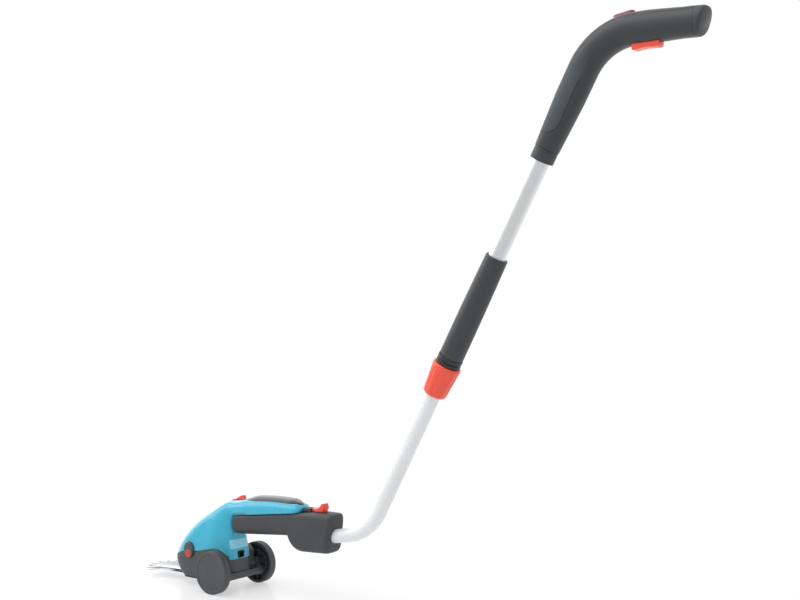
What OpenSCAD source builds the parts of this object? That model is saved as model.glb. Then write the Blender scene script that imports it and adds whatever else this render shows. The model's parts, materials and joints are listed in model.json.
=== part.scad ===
// Cordless grass shears on two wheels with a telescopic handle, in millimetres.
// +X points back to the handle, +Y to the left of a user, +Z up.
// The origin is on the ground, midway between the wheels, under their axis.

/* [Head] */
// Full width of the body
head_w = 72; // [68:1:80]
// Distance from the wheel axis forward to the nose
nose_reach = 127; // [124:1:134]
// Height of the foremost point of the nose
nose_z = 45; // [42:1:48]
// Height of the crown where the body runs into the handle
crown_z = 151; // [148:1:155]
// Distance from the wheel axis back to the highest point of the crown
crown_back = 24; // [20:1:28]
// Height where the sides begin to lean in
shoulder_z = 50; // [46:1:54]
// Distance from the wheel axis back to the rear face at shoulder height
rear_back = 12.5; // [11:0.5:14]
// Forward lean of the rear face for each millimetre of height
rear_lean = 0.12; // [0.09:0.01:0.14]
// How far the sides of the body draw in towards the rear
rear_round = 22; // [18:1:26]
// Length of the drawn-in part of the sides
rear_sweep = 45; // [36:1:52]
// Thickness of the head's walls
wall = 2.5; // [2:0.1:3]
// Height of the underside of the base
base_z = 15; // [14.5:0.5:16]
// Height of the underside at the rear of the base
rear_sole_z = 28.5; // [27:0.5:30]
// How far the nose draws back down to the sole
nose_tuck = 14; // [10:1:18]
// Height of the seam between base and housing at the wheel hump
hump_z = 69; // [66:1:72]
// Height of the seam at the rear
seam_rear_z = 51.5; // [49:0.5:52.5]

/* [Head handle] */
// Full width of the handle
handle_w = 40; // [38:1:44]
// Height of the handle's underside below the crown's highest point
handle_low_z = 127; // [125:1:129]
// Slope of the handle's underside in degrees
handle_tilt = 7.6; // [6.5:0.1:8.5]
// Height of the handle's back
handle_top_z = 158.5; // [157:0.5:162]
// Distance from the wheel axis back to the handle's highest point
handle_top_x = 110; // [105:1:116]
// Distance from the wheel axis back to the end of the handle
tail_x = 154; // [152:1:157]
// Radius of the corners at the end of the handle
tail_round = 12; // [9:1:14]
// Depth of the soft pad's seat below the handle's back
pad_seat_depth = 4; // [3:0.5:5]
// Height of the soft pad above the handle's back
pad_rise = 5.4; // [4:0.2:7]
// Widest part of the soft pad
pad_w = 26; // [23:1:29]

/* [Release buttons] */
// Distance from the nose back to the release buttons
button_behind = 52.3; // [50:0.1:56]
// Height of the middle of the release buttons
button_z = 61; // [59:1:64]
// Length of a release button
button_l = 22; // [20:0.5:23]
// Height of a release button
button_h = 26; // [23:0.5:28]
// How far a release button stands out of the body
button_proud = 4; // [3:0.2:4.4]
// Diameter of the disc in a release button
button_disc_d = 14; // [11:0.5:14.5]

/* [Wheels] */
// Diameter of a wheel
wheel_d = 70; // [66:1:74]
// Width of a wheel's tread
wheel_w = 13; // [11:0.5:15]
// Distance between the middles of the two treads
track = 107.4; // [105:0.2:112]
// Diameter of an axle
axle_d = 6; // [5:0.5:7]
// Diameter of the carrier's cross bar
carrier_bar_d = 8.4; // [7:0.2:10]
// Thickness of a carrier arm
carrier_arm_t = 4; // [3:0.5:4.5]

/* [Blades] */
// Thickness of each blade
blade_t = 1.8; // [1.5:0.1:2]
// Width of the comb over its outermost tips
comb_w = 82; // [76:1:90]
// Distance from the nose forward to the middle of the comb
comb_proud = 36; // [33:1:43]
// Teeth on the fixed comb
comb_teeth = 7; // [5:2:9]
// Length of the teeth
tooth_l = 20; // [16:1:24]
// Diameter of the blade pivot
pivot_d = 6; // [5:0.5:7]
// Throw of the crank pin
crank_throw = 4.5; // [3.5:0.5:5]

/* [Drive] */
// Teeth on the crank gear
gear_teeth = 40; // [32:4:44]
// Teeth on the motor pinion
pinion_teeth = 10; // [8:1:11]
// Gear module
gear_module = 0.8; // [0.7:0.05:0.85]
// Width of the gear teeth
gear_h = 6; // [4:0.5:7]
// Diameter of the motor
motor_d = 28; // [24:1:30]
// Length of the motor
motor_l = 38; // [30:1:42]
// Diameter of a battery cell
cell_d = 18.4; // [17:0.2:18.8]
// Length of a battery cell
cell_l = 65; // [60:1:66]

/* [Charging socket] */
// Diameter of the charging socket's bore
socket_d = 8; // [6:0.5:8.5]
// Depth of the charging socket's bore
socket_depth = 9; // [7:0.5:9.5]
// Width of the charging socket
socket_w = 14; // [12:0.5:16]
// Height of the charging socket
socket_h = 11; // [10:0.5:12]
// Height of the middle of the charging socket
socket_z = 58.6; // [58:0.2:60]

/* [Adapter] */
// Width of the adapter's bar
bar_w = 38; // [36:1:40]
// Width of the adapter's box
box_w = 40; // [38:1:44]
// Distance from the wheel axis back to the rounded front of the bar
bar_front_x = 5.8; // [5.6:0.2:8]
// Height of the bar's underside at its front
bar_low_z = 94.5; // [93:0.5:98]
// Slope of the bar's underside in degrees
bar_tilt = 5.2; // [4:0.1:6]
// Distance from the wheel axis back to the front of the box
box_front_x = 132; // [128:1:136]
// Length of the curve from the bar down to the box's underside
box_curve_l = 28; // [22:1:32]
// Height of the box's underside
box_low_z = 82.6; // [81:0.2:86]
// Height of the box's top
box_top_z = 148.5; // [147:0.1:150]
// Distance from the wheel axis back to the rear of the box
box_rear_x = 223; // [220:1:227]
// Forward lean of the box's rear for each unit of height
box_lean = 0.11; // [0.06:0.01:0.16]
// Thickness of the adapter's walls
box_wall = 2.4; // [2:0.1:3]
// Length of the latch slide
latch_l = 27; // [25:1:30]
// Width of the latch slide
latch_w = 16; // [12:1:18]
// Height of the latch's thumb tab
latch_h = 13; // [11:0.5:15]
// Travel of the latch slide
latch_travel = 6; // [5:0.5:7]

/* [Tubes] */
// Slope of the straight tubes in degrees
tube_angle = 61.2; // [60.5:0.1:62]
// Slope of the tube where it leaves the box in degrees
entry_angle = 10; // [9:0.5:11]
// Distance from the wheel axis back to the corner of the two tube directions
corner_x = 287.2; // [283:0.2:291]
// Height of the corner of the two tube directions
corner_z = 124.9; // [123.5:0.1:126]
// Radius of the tube's bend
bend_r = 85; // [75:1:95]
// Diameter of the lower tube
lower_tube_d = 22; // [20:0.5:22.5]
// Wall of the lower tube
lower_tube_wall = 1.2; // [1:0.1:1.6]
// Diameter of the upper tube
upper_tube_d = 26; // [25.5:0.1:27]
// Bore of the upper tube
upper_tube_bore = 23.2; // [23:0.1:23.6]
// Distance along the tube from the corner to the clamp
clamp_start = 251.3; // [245:0.5:258]
// Length of lower tube inside the clamp and the upper tube
inserted_l = 200; // [195:1:210]

/* [Clamp and middle grip] */
// Length of the clamp nut
nut_l = 51; // [48:1:54]
// Wall of the clamp nut at its lower end
nut_low_wall = 2.85; // [2.4:0.05:3.6]
// Wall of the clamp nut at its upper end
nut_top_wall = 6.35; // [5.2:0.05:7.6]
// Flutes round the clamp nut
nut_flutes = 10; // [6:1:14]
// Length of the ring above the clamp nut
ring_l = 13; // [10:1:15]
// Diameter of the ring above the clamp nut
ring_d = 38; // [36:0.5:40]
// Length of the middle grip
sleeve_l = 164; // [150:1:175]
// Diameter of the middle grip's lower end
sleeve_low_d = 37; // [35:0.5:39]
// Diameter of the middle grip's upper end
sleeve_top_d = 33.5; // [32:0.5:36]

/* [Upper grip] */
// Length of bare tube between the middle grip and the upper grip's collar
bare_l = 151; // [140:1:160]
// Length of the collar
collar_l = 18; // [14:1:20]
// Diameter of the collar
collar_d = 34.6; // [33.5:0.1:36]
// Length of tube inside the upper grip
grip_tube_l = 44; // [38:1:50]
// Length of the grip's sloping part
grip_slope_l = 116; // [110:1:122]
// Radius of the grip's bend
grip_bend_r = 88; // [82:1:96]
// Length of the grip's level part
grip_level_l = 97; // [92:1:103]
// Height of the grip's section at its thickest
grip_h = 44; // [42:0.5:46]
// Width of the grip's section at its thickest
grip_w = 40; // [38:0.5:43]
// Height of the grip's section at its end
grip_end_h = 40; // [38:0.5:42]
// Thickness of the grip's walls
grip_wall = 2.6; // [2.2:0.1:3]
// Length of the handle trigger
trigger_l = 39; // [36:0.5:42]
// Width of the handle trigger
trigger_w = 15; // [13:0.5:16]
// Length of the safety button
safety_l = 31; // [27:0.5:33]
// Width of the safety button
safety_w = 13; // [11:0.5:15]

/* [Fits] */
// Radial clearance of a running fit
run_fit = 0.05; // [0.02:0.01:0.08]
// Gap between pieces that move past each other
slide_gap = 0.4; // [0.35:0.05:0.5]
// Gap along a seam between two casings
seam_gap = 0.3; // [0.2:0.05:0.4]
// Radius of a screw's shank
screw_r = 1.45; // [1.2:0.05:1.6]
// Radius of a screw's head
screw_head_r = 2.8; // [2.5:0.1:3]

/* [Hidden] */
$fn = 48;

turquoise = [0.24, 0.68, 0.83];
dark_grey = [0.33, 0.34, 0.35];
soft_grey = [0.45, 0.46, 0.47];
black = [0.08, 0.08, 0.09];
orange = [0.93, 0.36, 0.27];
steel = [0.76, 0.77, 0.79];
white_metal = [0.9, 0.91, 0.92];
copper = [0.72, 0.45, 0.2];
green = [0.1, 0.38, 0.2];

// Shape of the lofted casings
crown_power = 1.5;
handle_power = 3;
edge_w = 0.4;
head_levels = 9;
head_stations = 11;
form_sides = 22;

wheel_r = wheel_d / 2;
axis_z = wheel_r;
nose_x = -nose_reach;
button_x = nose_x + button_behind;
comb_x = nose_x - comb_proud;

// Heights of the blades and the plates round them
lower_blade_z = base_z - 1.5;
upper_blade_z = lower_blade_z + blade_t + slide_gap;
floor_under_z = upper_blade_z + blade_t + 2 * slide_gap;
floor_top_z = floor_under_z + wall;
sole_plate_t = 2;
blade_bay_w = head_w - 15;

// Drive train, from the blade pivot back to the motor
pivot_part = 32 / 127;
crank_part = 0.4;
crank_set = 15.8;
pivot_x = nose_x + pivot_part * nose_reach;
crank_arm = crank_part * nose_reach - crank_set;
crank_x = pivot_x + crank_arm;
bay_rear_x = crank_x + 22;
sole_ramp_x = bay_rear_x + 4;
sole_front_x = pivot_x - 13;
gear_r = gear_module * gear_teeth / 2;
pinion_r = gear_module * pinion_teeth / 2;
motor_x = crank_x + gear_r + pinion_r;
gear_z = floor_top_z + slide_gap;
gear_plate_z = floor_top_z + 13;
gear_plate_t = 5;
motor_z = gear_plate_z + gear_plate_t;
crank_pin_r = 2;
crank_shaft_r = 4;
motor_shaft_r = 1.5;
pillar_r = 3;
gear_plate_half_w = 21;
gear_plate_front_x = crank_x - 21;
gear_plate_rear_x = motor_x + 15;

// Battery and board in the rear of the body
cell_gap = 0.6;
cell_x = gear_plate_rear_x + cell_gap + cell_d / 2;
cell_y = cell_d / 2 + 0.6;
cell_z = rear_sole_z + wall;
board_t = 1.6;
board_l = 30;
board_corner = 5;
board_rear_x = rear_back - wall - board_corner - rear_lean * (cell_z + cell_l + board_t - shoulder_z);
board_x = min(cell_x - board_l / 2 - 3, board_rear_x - board_l);
board_w = 36;

// Places of the casing screws, as [x, z]
housing_screw_at = [[nose_x + 35, 66], [nose_x + 67, 100], [-29, 117], [136, 148.5]];
adapter_screw_at = [[168, 94.5], [206, 92.5], [184, 138], [78, 116]];
sole_screw_at = [[pivot_x - 1, 22], [pivot_x - 1, -22], [crank_x + 9, 24], [crank_x + 9, -24]];
boss_r = 3.4;
screw_head_t = 2;
screw_grip = 8;

function between(a, b, t) = a + (b - a) * t;
function unit(t) = min(max(t, 0), 1);
function ease(t) = let (c = unit(t)) c * c * (3 - 2 * c);
function signed_power(v, p) = sign(v) * pow(abs(v), p);
function round_off(t) = sqrt(max(1 - t * t, 0));

// Body: half width at a height, front edge at a height and crest along its length, inset by d
function crown_w(z, d) =
    (head_w / 2 - d) * round_off(unit((z - shoulder_z) / (crown_z - d - shoulder_z)))
    - 3 * pow(unit((shoulder_z - z) / (shoulder_z - base_z)), 2);
function crown_curve(t) = pow(1 - pow(unit(t), crown_power), 1 / crown_power);
function front_x(z, d) =
    crown_back - (crown_back + nose_reach - d) * crown_curve((z - nose_z) / (crown_z - d - nose_z))
    + nose_tuck * pow(unit((nose_z - z) / (nose_z - base_z)), 2);
function crest(x, d) =
    nose_z + (crown_z - d - nose_z) * crown_curve((crown_back - x) / (crown_back + nose_reach - d));
function rear_turn(z, d) = min(rear_round - d, 0.7 * crown_w(z, d));
function head_half_w(x, z, d) =
    let (r = crown_w(z, d),
         turn = rear_turn(z, d),
         ahead = unit((front_x(z, d) + r - x) / r),
         behind = unit((x - rear_back + rear_sweep) / (rear_sweep - d)))
    max(r * round_off(ahead) - turn * (1 - round_off(behind)), edge_w);
function sole_height(x, d) =
    max(base_z + (rear_sole_z - base_z) * ease((x - sole_ramp_x) / (-2 - sole_ramp_x)) + d
        + (nose_z - base_z - 1) * (1 - sqrt(unit((x - nose_x - d) / nose_tuck))),
        d > 0 ? floor_top_z : 0);
function lean_x(x, z) =
    x - rear_lean * (z - shoulder_z) * ease((x + 40) / (rear_back + 40));
function head_ring(x, d) =
    let (low = sole_height(x, d),
         high = d > 0 && x > pad_front_x - 4 ? min(crest(x, d), pad_seat(x) - 0.8 * d) : crest(x, d),
         rise = [for (k = [0:head_levels]) between(low, high, sin(90 * k / head_levels))])
    concat([for (z = rise) [lean_x(x, z), head_half_w(x, z, d), z]],
           [for (k = [head_levels:-1:0]) [lean_x(x, rise[k]), -head_half_w(x, rise[k], d), rise[k]]]);

// Handle of the head: a half round section on a flat underside
function handle_under(x) = handle_low_z + tan(handle_tilt) * (x - crown_back);
function handle_back(x) =
    handle_top_z - 12 * pow((x - handle_top_x) / handle_top_x, 2)
    - 6 * pow(unit((x - tail_x + tail_round) / tail_round), 2);
function handle_half_w(x, d) =
    between(handle_w * 0.35, handle_w / 2, ease((x + 10) / 40)) - d
    - tail_round * (1 - round_off(unit((x - tail_x + tail_round) / (tail_round + 0.5))));
function handle_side(x, z) =
    let (low = handle_under(x), t = unit((z - low) / (handle_back(x) - low)))
    handle_half_w(x, 0) * pow(1 - pow(t, handle_power), 1 / handle_power);
function arch_ring(x, half_w, low, high, power) =
    [for (k = [0:form_sides / 2])
        let (a = 180 * k / (form_sides / 2))
        [x, half_w * signed_power(cos(a), 2 / power),
            low + (high - low) * signed_power(sin(a), 2 / power)]];
function pad_back(x) =
    handle_back(x) + pad_rise * ease((x - crown_back + 6) / 40)
        * (1 - 0.6 * ease((x - pad_rear_x + 17) / 16));
function pad_half_w(x) =
    pad_w / 2 * between(0.3, 1, ease((x + 14) / 75)) * round_off(unit((x - pad_rear_x + 22) / 23));
function pad_seat(x) = handle_back(x) - pad_seat_depth * between(0.55, 1, ease((x + 14) / 60));
pad_front_x = -13;
pad_rear_x = tail_x - 5;

// Adapter: a round bar that swells into a box, closed at both ends
bar_end_r = 7;
function bar_under(x) = bar_low_z + tan(bar_tilt) * (x - 21);
function box_under(x) =
    box_low_z + 0.045 * max(x - box_front_x - box_curve_l, 0)
    + (bar_under(box_front_x) - box_low_z)
        * (1 - round_off(unit((box_front_x + box_curve_l - x) / box_curve_l)));
function adapter_low(x) = x < box_front_x ? bar_under(x) : box_under(x);
function adapter_top(x) = min(handle_under(x), box_top_z) - seam_gap;
function adapter_front(x, d) = round_off(unit((bar_front_x + bar_end_r - x) / (bar_end_r - d)));
function adapter_rear(x, d) = 1 - round_off(unit((x - box_rear_x + 8) / (8 - d)));
function adapter_half_w(x) =
    between(bar_w, box_w, ease((x - box_front_x) / box_curve_l)) / 2;
function adapter_ring(x, d) =
    let (front = adapter_front(x, d),
         rear = adapter_rear(x, d),
         high = adapter_top(x) - 3 * rear - d,
         low = adapter_low(x) + 8 * rear + d,
         half_h = (high - low) / 2 * front,
         half_w = (adapter_half_w(x) - d - 7 * rear) * pow(front, 0.8),
         power = between(3.2, 5, ease((x - 112) / 36)),
         lean = box_lean * ease((x - box_front_x - box_curve_l) / (box_rear_x - box_front_x - box_curve_l)))
    [for (p = round_ring([x, (high + low) / 2], 0, half_h, half_w, power))
        [p[0] - lean * (box_top_z - p[2]), p[1], p[2]]];

// A closed ring round the point [x, z], square to a direction that slopes up by tilt
function round_ring(at, tilt, half_h, half_w, power) =
    [for (k = [0:form_sides - 1])
        let (a = 360 * k / form_sides,
             up = half_h * signed_power(sin(a), 2 / power))
        [at[0] - up * sin(tilt), half_w * signed_power(cos(a), 2 / power), at[1] + up * cos(tilt)]];

// Tube directions and the frame along the straight tubes
tube_dir = [cos(tube_angle), sin(tube_angle)];
entry_dir = [cos(entry_angle), sin(entry_angle)];
bend_angle = tube_angle - entry_angle;
bend_tangent = bend_r * tan(bend_angle / 2);
corner = [corner_x, corner_z];
lower_r = lower_tube_d / 2;
upper_r = upper_tube_d / 2;
bore_r = upper_tube_bore / 2;
tube_lap = 2;
tube_step = 0.15;
tube_front_l = (corner_x - box_rear_x + 42) / cos(entry_angle) - bend_tangent;

// Stations along the upper handle, measured from the bottom of the clamp nut
ring_s = nut_l + slide_gap;
sleeve_s = ring_s + ring_l;
collar_s = sleeve_s + sleeve_l + bare_l;
grip_s = collar_s + collar_l + seam_gap;
upper_tube_s = 44;
upper_tube_end_s = grip_s + grip_tube_l;
bush_l = 25;
collet_wall = 2.4;
collet_r = upper_r + collet_wall;
nut_low_d = 2 * (collet_r + nut_low_wall);
nut_top_d = 2 * (collet_r + nut_top_wall);
thread_l = 30;

// Spine of the upper grip: a slope, a bend and a level part
grip_bend_l = grip_bend_r * tube_angle * PI / 180;
grip_l = grip_slope_l + grip_bend_l + grip_level_l;
grip_foot = corner + tube_dir * (clamp_start + grip_s);
grip_knee = grip_foot + tube_dir * grip_slope_l;
grip_hub = grip_knee + grip_bend_r * [sin(tube_angle), -cos(tube_angle)];
grip_level_z = grip_hub[1] + grip_bend_r;
grip_level_x = grip_hub[0];
grip_end_x = grip_level_x + grip_level_l;
grip_droop = 2.5;
grip_edge_r = 5;
grip_lean = 16;
grip_lean_l = 24;
function grip_tilt(t) =
    tube_angle * (1 - unit((t - grip_slope_l) / grip_bend_l))
    - grip_lean * unit((t - grip_l + grip_lean_l) / grip_lean_l);
function grip_at(t) =
    t < grip_slope_l ? grip_foot + tube_dir * t
    : t < grip_slope_l + grip_bend_l ? grip_hub - grip_bend_r * [sin(grip_tilt(t)), -cos(grip_tilt(t))]
    : let (run = t - grip_slope_l - grip_bend_l)
      [grip_level_x + run, grip_level_z - grip_droop * pow(run / grip_level_l, 2)];
function grip_half_h(t) =
    lookup(t, [[0, collar_d / 2], [75, grip_h / 2 - 1.2], [230, grip_h / 2],
        [grip_l - 30, grip_end_h / 2]]);
function grip_half_w(t) =
    lookup(t, [[0, collar_d / 2], [75, grip_w / 2], [230, grip_w / 2 - 0.5],
        [grip_l - 30, grip_w / 2 - 1.5]]);
function grip_ring(t, d) =
    let (end = round_off(unit((t - grip_l + grip_edge_r) / (grip_edge_r + 0.4 - d))))
    round_ring(grip_at(t), grip_tilt(t), (grip_half_h(t) - d) * between(0.8, 1, end),
               (grip_half_w(t) - d) * between(0.8, 1, end), 2.3);
grip_stations = concat([for (k = [0:3]) k * grip_slope_l / 4],
                       [for (k = [0:6]) grip_slope_l + k * grip_bend_l / 6],
                       [for (t = [0.3, 0.6]) between(grip_slope_l + grip_bend_l, grip_l - grip_edge_r, t)],
                       [for (a = [0:30:90]) grip_l - grip_edge_r * (1 - sin(a))]);

// Handle trigger, safety button and their seats in the grip
trigger_x = grip_end_x - 99;
trigger_pin_x = trigger_x + 3.5;
trigger_pin_z = grip_level_z - grip_h / 2 + 6.5;
trigger_pin_r = 2;
trigger_pin_end = 13.2;
trigger_hang = 6.6;
trigger_swing = 6;
trigger_top_z = grip_level_z - grip_h / 2 + 4.5;
switch_l = 20;
switch_w = 10;
switch_h = 10;
handle_switch_x = trigger_x + 18;
handle_switch_z = trigger_top_z + trigger_l * sin(trigger_swing) + 2.5;
safety_x = grip_end_x - 113;
safety_tilt = asin((grip_level_x - safety_x) / (grip_bend_r + grip_h / 2));
safety_at = grip_hub + (grip_bend_r + grip_h / 2 - 0.6) * [-sin(safety_tilt), cos(safety_tilt)];
safety_travel = 3;
safety_up = 2.8;
cap_x = grip_end_x - 10;
pad_cut_z = grip_level_z + grip_h / 2 - 8;
panel_cut = grip_h / 2 - 7;
panel_end_s = grip_slope_l + 16;
grip_screw_at = [grip_at(60), grip_at(grip_slope_l - 4), [cap_x - 16, grip_level_z - 4]];

// Head trigger inside the adapter bar
head_trigger_pin_x = 108;
head_trigger_pin_z = handle_under(head_trigger_pin_x) + wall + 4.6;
pin_end = handle_side(head_trigger_pin_x, head_trigger_pin_z) - 1.3;
head_trigger_front_x = 42;
head_trigger_swing = 3;
head_trigger_w = 12;
head_trigger_hang = 4;
head_switch_x = 52;

// Switch lock on the crown
lock_l = 30;
lock_w = 9;
lock_h = 5.5;
lock_x = 8;
lock_tilt = 11.3;
lock_travel = 4;
lock_z = pad_back(lock_x) + slide_gap + 0.6;

// Latch on top of the box
latch_x = tail_x + 19;
latch_nose_l = 24;
latch_nose_w = 8;
latch_nose_h = 1.6;
guide_w = 14;
guide_wall = 1.2;
latch_z = box_top_z + slide_gap / 2;

// Wheel carrier
fender_y = head_w / 2 + 3.5;
hump_in_y = 21;
hump_rear_x = 4;
axle_boss_r = 9;
arm_y = fender_y + carrier_arm_t;
carrier_bar_x = 17;
carrier_bar_z = 24;
carrier_web_t = 2;
carrier_web_z = rear_sole_z + 2;
hub_y = arm_y + 0.5;
rim_in_y = track / 2 - wheel_w / 2;
rim_out_y = track / 2 + wheel_w / 2;
axle_end_y = rim_out_y - 4;
hub_r = 9;

// Points of the seam between base and housing, as [x, z]
hump_x = -16;
seam_points = [
    [nose_x - 20, nose_z - 1], [nose_x + 17, nose_z + 5], [button_x - 15, button_z - 4],
    [button_x + 18, button_z], [between(button_x + 18, hump_x, 0.51), between(button_z, hump_z, 0.55)],
    [hump_x, hump_z],
    [-7, hump_z - 1], [1, hump_z - 6], [7, seam_rear_z + 5], [12, seam_rear_z], [60, seam_rear_z]
];

// Skin a list of rings into one closed solid
module loft(rings) {
    sides = len(rings[0]);
    last = len(rings) - 1;
    skin = [for (i = [0:last - 1], j = [0:sides - 1])
        let (a = i * sides + j, b = i * sides + (j + 1) % sides)
        each [[a, a + sides, b + sides], [a, b + sides, b]]];
    polyhedron([for (ring = rings) each ring],
               concat(skin, [[for (j = [0:sides - 1]) j]],
                   [[for (j = [sides - 1:-1:0]) last * sides + j]]));
}

// A cylinder along Y through the point [x, z]
module along_y(at, r, y0, y1) {
    translate([at[0], y0, at[1]]) rotate([-90, 0, 0]) cylinder(r = r, h = y1 - y0);
}

// A side outline in [x, z], extruded along Y
module side_slab(points, y0, y1) {
    translate([0, y1, 0]) rotate([90, 0, 0]) linear_extrude(y1 - y0) polygon(points);
}

// A box from its two corners
module box_between(low, high) {
    translate(low) cube(high - low);
}

// One side of the middle plane
module side_space(side) {
    translate([-300, side > 0 ? 0 : -200, -100]) cube([1400, 200, 1200]);
}

// The frame along the straight tubes, with its origin at the bottom of the clamp nut
module on_tube(s) {
    at = corner + tube_dir * (clamp_start + s);
    translate([at[0], 0, at[1]]) rotate([0, 90 - tube_angle, 0]) children();
}

// An oval prism along Y
module oval_y(x, z, length, height, y0, y1) {
    sides = 28;
    side_slab([for (k = [0:sides - 1])
        [x + length / 2 * cos(360 * k / sides), z + height / 2 * sin(360 * k / sides)]], y0, y1);
}

// A rounded bar seen from above, with round ends along X
module long_oval(length, width, height) {
    r = width / 2;
    steps = 8;
    half = length / 2 - r;
    linear_extrude(height) polygon(concat(
        [for (k = [0:steps]) [half + r * sin(180 * k / steps), r * cos(180 * k / steps)]],
        [for (k = [0:steps]) [-half - r * sin(180 * k / steps), -r * cos(180 * k / steps)]]));
}

// A screw along Y with its head at y_head and its shank towards -Y
module screw_y(at, y_head, y_tip) {
    along_y(at, screw_head_r, y_head - screw_head_t, y_head);
    along_y(at, screw_r, y_tip, y_head - screw_head_t + 0.5);
}

module head_form(d) {
    turn_x = rear_back - rear_sweep;
    front = [for (k = [0:head_stations])
        let (t = k / head_stations)
        between(nose_x + d + 0.3, turn_x, t * t * (2.2 - 1.2 * t))];
    rear = [for (a = [15:15:90]) turn_x + (rear_sweep - d) * sin(a)];
    loft([for (x = concat(front, rear)) head_ring(x, d)]);
}

module handle_form(d) {
    tail = tail_x - tail_round;
    stations = concat([-9, 4, 16, 30, 60, 90, 120, 140],
                      d > 0 ? [tail + 2] : [for (a = [0:30:90]) tail + tail_round * sin(a)]);
    loft([for (x = stations)
        arch_ring(x, handle_half_w(x, d), handle_under(x) + d,
                  d > 0 ? pad_seat(x) - d * 0.8 : handle_back(x), handle_power)]);
}

module pad_form(grow, extra) {
    turn_x = pad_rear_x - 15;
    stations = concat([pad_front_x - grow], [for (k = [0:6]) turn_x * k / 6],
                      [for (a = [15:25:90]) turn_x + (pad_rear_x + grow - turn_x) * sin(a)],
                          [pad_rear_x + grow]);
    loft([for (x = stations)
        arch_ring(x, max(pad_half_w(x), 1.2) + grow, pad_seat(x) - grow,
            max(pad_back(x), pad_seat(x) + 0.8) + extra,
                  extra > 0 ? 12 : 2.6)]);
}

module adapter_form(d) {
    bar = [for (a = [0:22.5:90]) bar_front_x + bar_end_r - (bar_end_r - d) * cos(a) + 0.2];
    curve = [for (t = [0, 0.06, 0.16, 0.35, 0.65, 1]) box_front_x + box_curve_l * t];
    rear = [for (a = [0:30:90]) box_rear_x - 8 + (8 - d) * sin(a) - 0.1];
    loft([for (x = concat(bar, [70, 112, box_front_x - 0.2], curve, rear)) adapter_ring(x, d)]);
}

module grip_form(d) {
    loft([for (t = grip_stations) if (d == 0 || (t > 12 && t < grip_l - 1)) grip_ring(t, d)]);
}

module above_seam() {
    side_slab(concat([[nose_x - 20, 400]], [for (p = seam_points) [p[0], p[1] + seam_gap]],
                     [[400, seam_rear_z + seam_gap], [400, 400]]), -100, 100);
}

module below_seam() {
    side_slab(concat([[nose_x - 20, -10]], seam_points, [[60, -10]]), -100, 100);
}

module socket_opening() {
    box_between([-2, -socket_w / 2 - seam_gap, socket_z - socket_h / 2 - seam_gap],
                [40, socket_w / 2 + seam_gap, socket_z + socket_h / 2 + seam_gap]);
}

module button_openings() {
    for (y = [-60, 20])
        oval_y(button_x, button_z, button_l + 2 * slide_gap, button_h + 2 * slide_gap, y, y + 40);
}

function screw_side(p) =
    p[0] < crown_back ? head_half_w(p[0], p[1], 0) : handle_side(p[0], p[1]);

module housing_half(side) {
    difference() {
        intersection() {
            union() {
                difference() {
                    union() {
                        head_form(0);
                        handle_form(0);
                    }
                    head_form(wall);
                    handle_form(wall);
                }
                for (p = housing_screw_at)
                    along_y(p, boss_r, side > 0 ? 0 : -screw_side(p) + wall * 0.6,
                        side > 0 ? screw_side(p) - wall * 0.6 : 0);
            }
            above_seam();
            side_space(side);
        }
        pad_form(seam_gap / 2, 30);
        button_openings();
        socket_opening();
        box_between([head_trigger_front_x - 2, -head_trigger_w / 2 - slide_gap, 100],
                    [head_trigger_pin_x + 8, head_trigger_w / 2 + slide_gap,
                        handle_under(head_trigger_front_x) + 14]);
        latch_way();
        along_y([head_trigger_pin_x, head_trigger_pin_z], trigger_pin_r + run_fit, -pin_end - 0.3,
            pin_end + 0.3);
        lock_stem(slide_gap, lock_travel);
        for (p = housing_screw_at) {
            along_y(p, screw_r + run_fit, -screw_grip - 1, 40);
            if (side > 0)
                along_y(p, screw_head_r + run_fit, screw_side(p) - screw_head_t - 1, 60);
        }
    }
}

module housing_left() {
    color(turquoise) housing_half(1);
}

module housing_right() {
    color(turquoise) housing_half(-1);
}

// The hump of the base beside a wheel, with a boss round the axle
module wheel_hump(side) {
    y0 = side > 0 ? hump_in_y : -fender_y;
    y1 = side > 0 ? fender_y : -hump_in_y;
    intersection() {
        along_y([-6, axis_z], hump_z - axis_z - 1, y0, y1);
        box_between([-60, -60, rear_sole_z], [hump_rear_x, 60, 100]);
    }
    intersection() {
        along_y([0, axis_z], axle_boss_r, y0, y1);
        box_between([-60, -60, rear_sole_z], [60, 60, 100]);
    }
}

module base_housing() {
    color(dark_grey) difference() {
        intersection() {
            union() {
                difference() {
                    union() {
                        head_form(0);
                        for (side = [-1, 1])
                            wheel_hump(side);
                    }
                    head_form(wall);
                }
                for (p = sole_screw_at)
                    translate([p[0], p[1], lower_blade_z])
                        cylinder(r = boss_r, h = floor_top_z - lower_blade_z);
            }
            below_seam();
        }
        difference() {
            box_between([nose_x - 10, -blade_bay_w / 2, 0], [bay_rear_x, blade_bay_w / 2, floor_under_z]);
            for (p = sole_screw_at)
                translate([p[0], p[1], lower_blade_z]) cylinder(r = boss_r, h = 20);
        }
        button_openings();
        socket_opening();
        translate([crank_x, 0, 0]) cylinder(r = crank_throw + crank_pin_r + 1, h = 60);
        translate([pivot_x, 0, 0]) cylinder(r = pivot_d / 2 + run_fit, h = 60);
        for (p = sole_screw_at)
            translate([p[0], p[1], 0]) cylinder(r = screw_r + run_fit, h = 60);
        for (side = [-1, 1])
            along_y([0, axis_z], axle_d / 2 + run_fit, side > 0 ? fender_y - 5 : -fender_y - 1,
                side > 0 ? fender_y + 1 : 5 - fender_y);
    }
}

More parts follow.
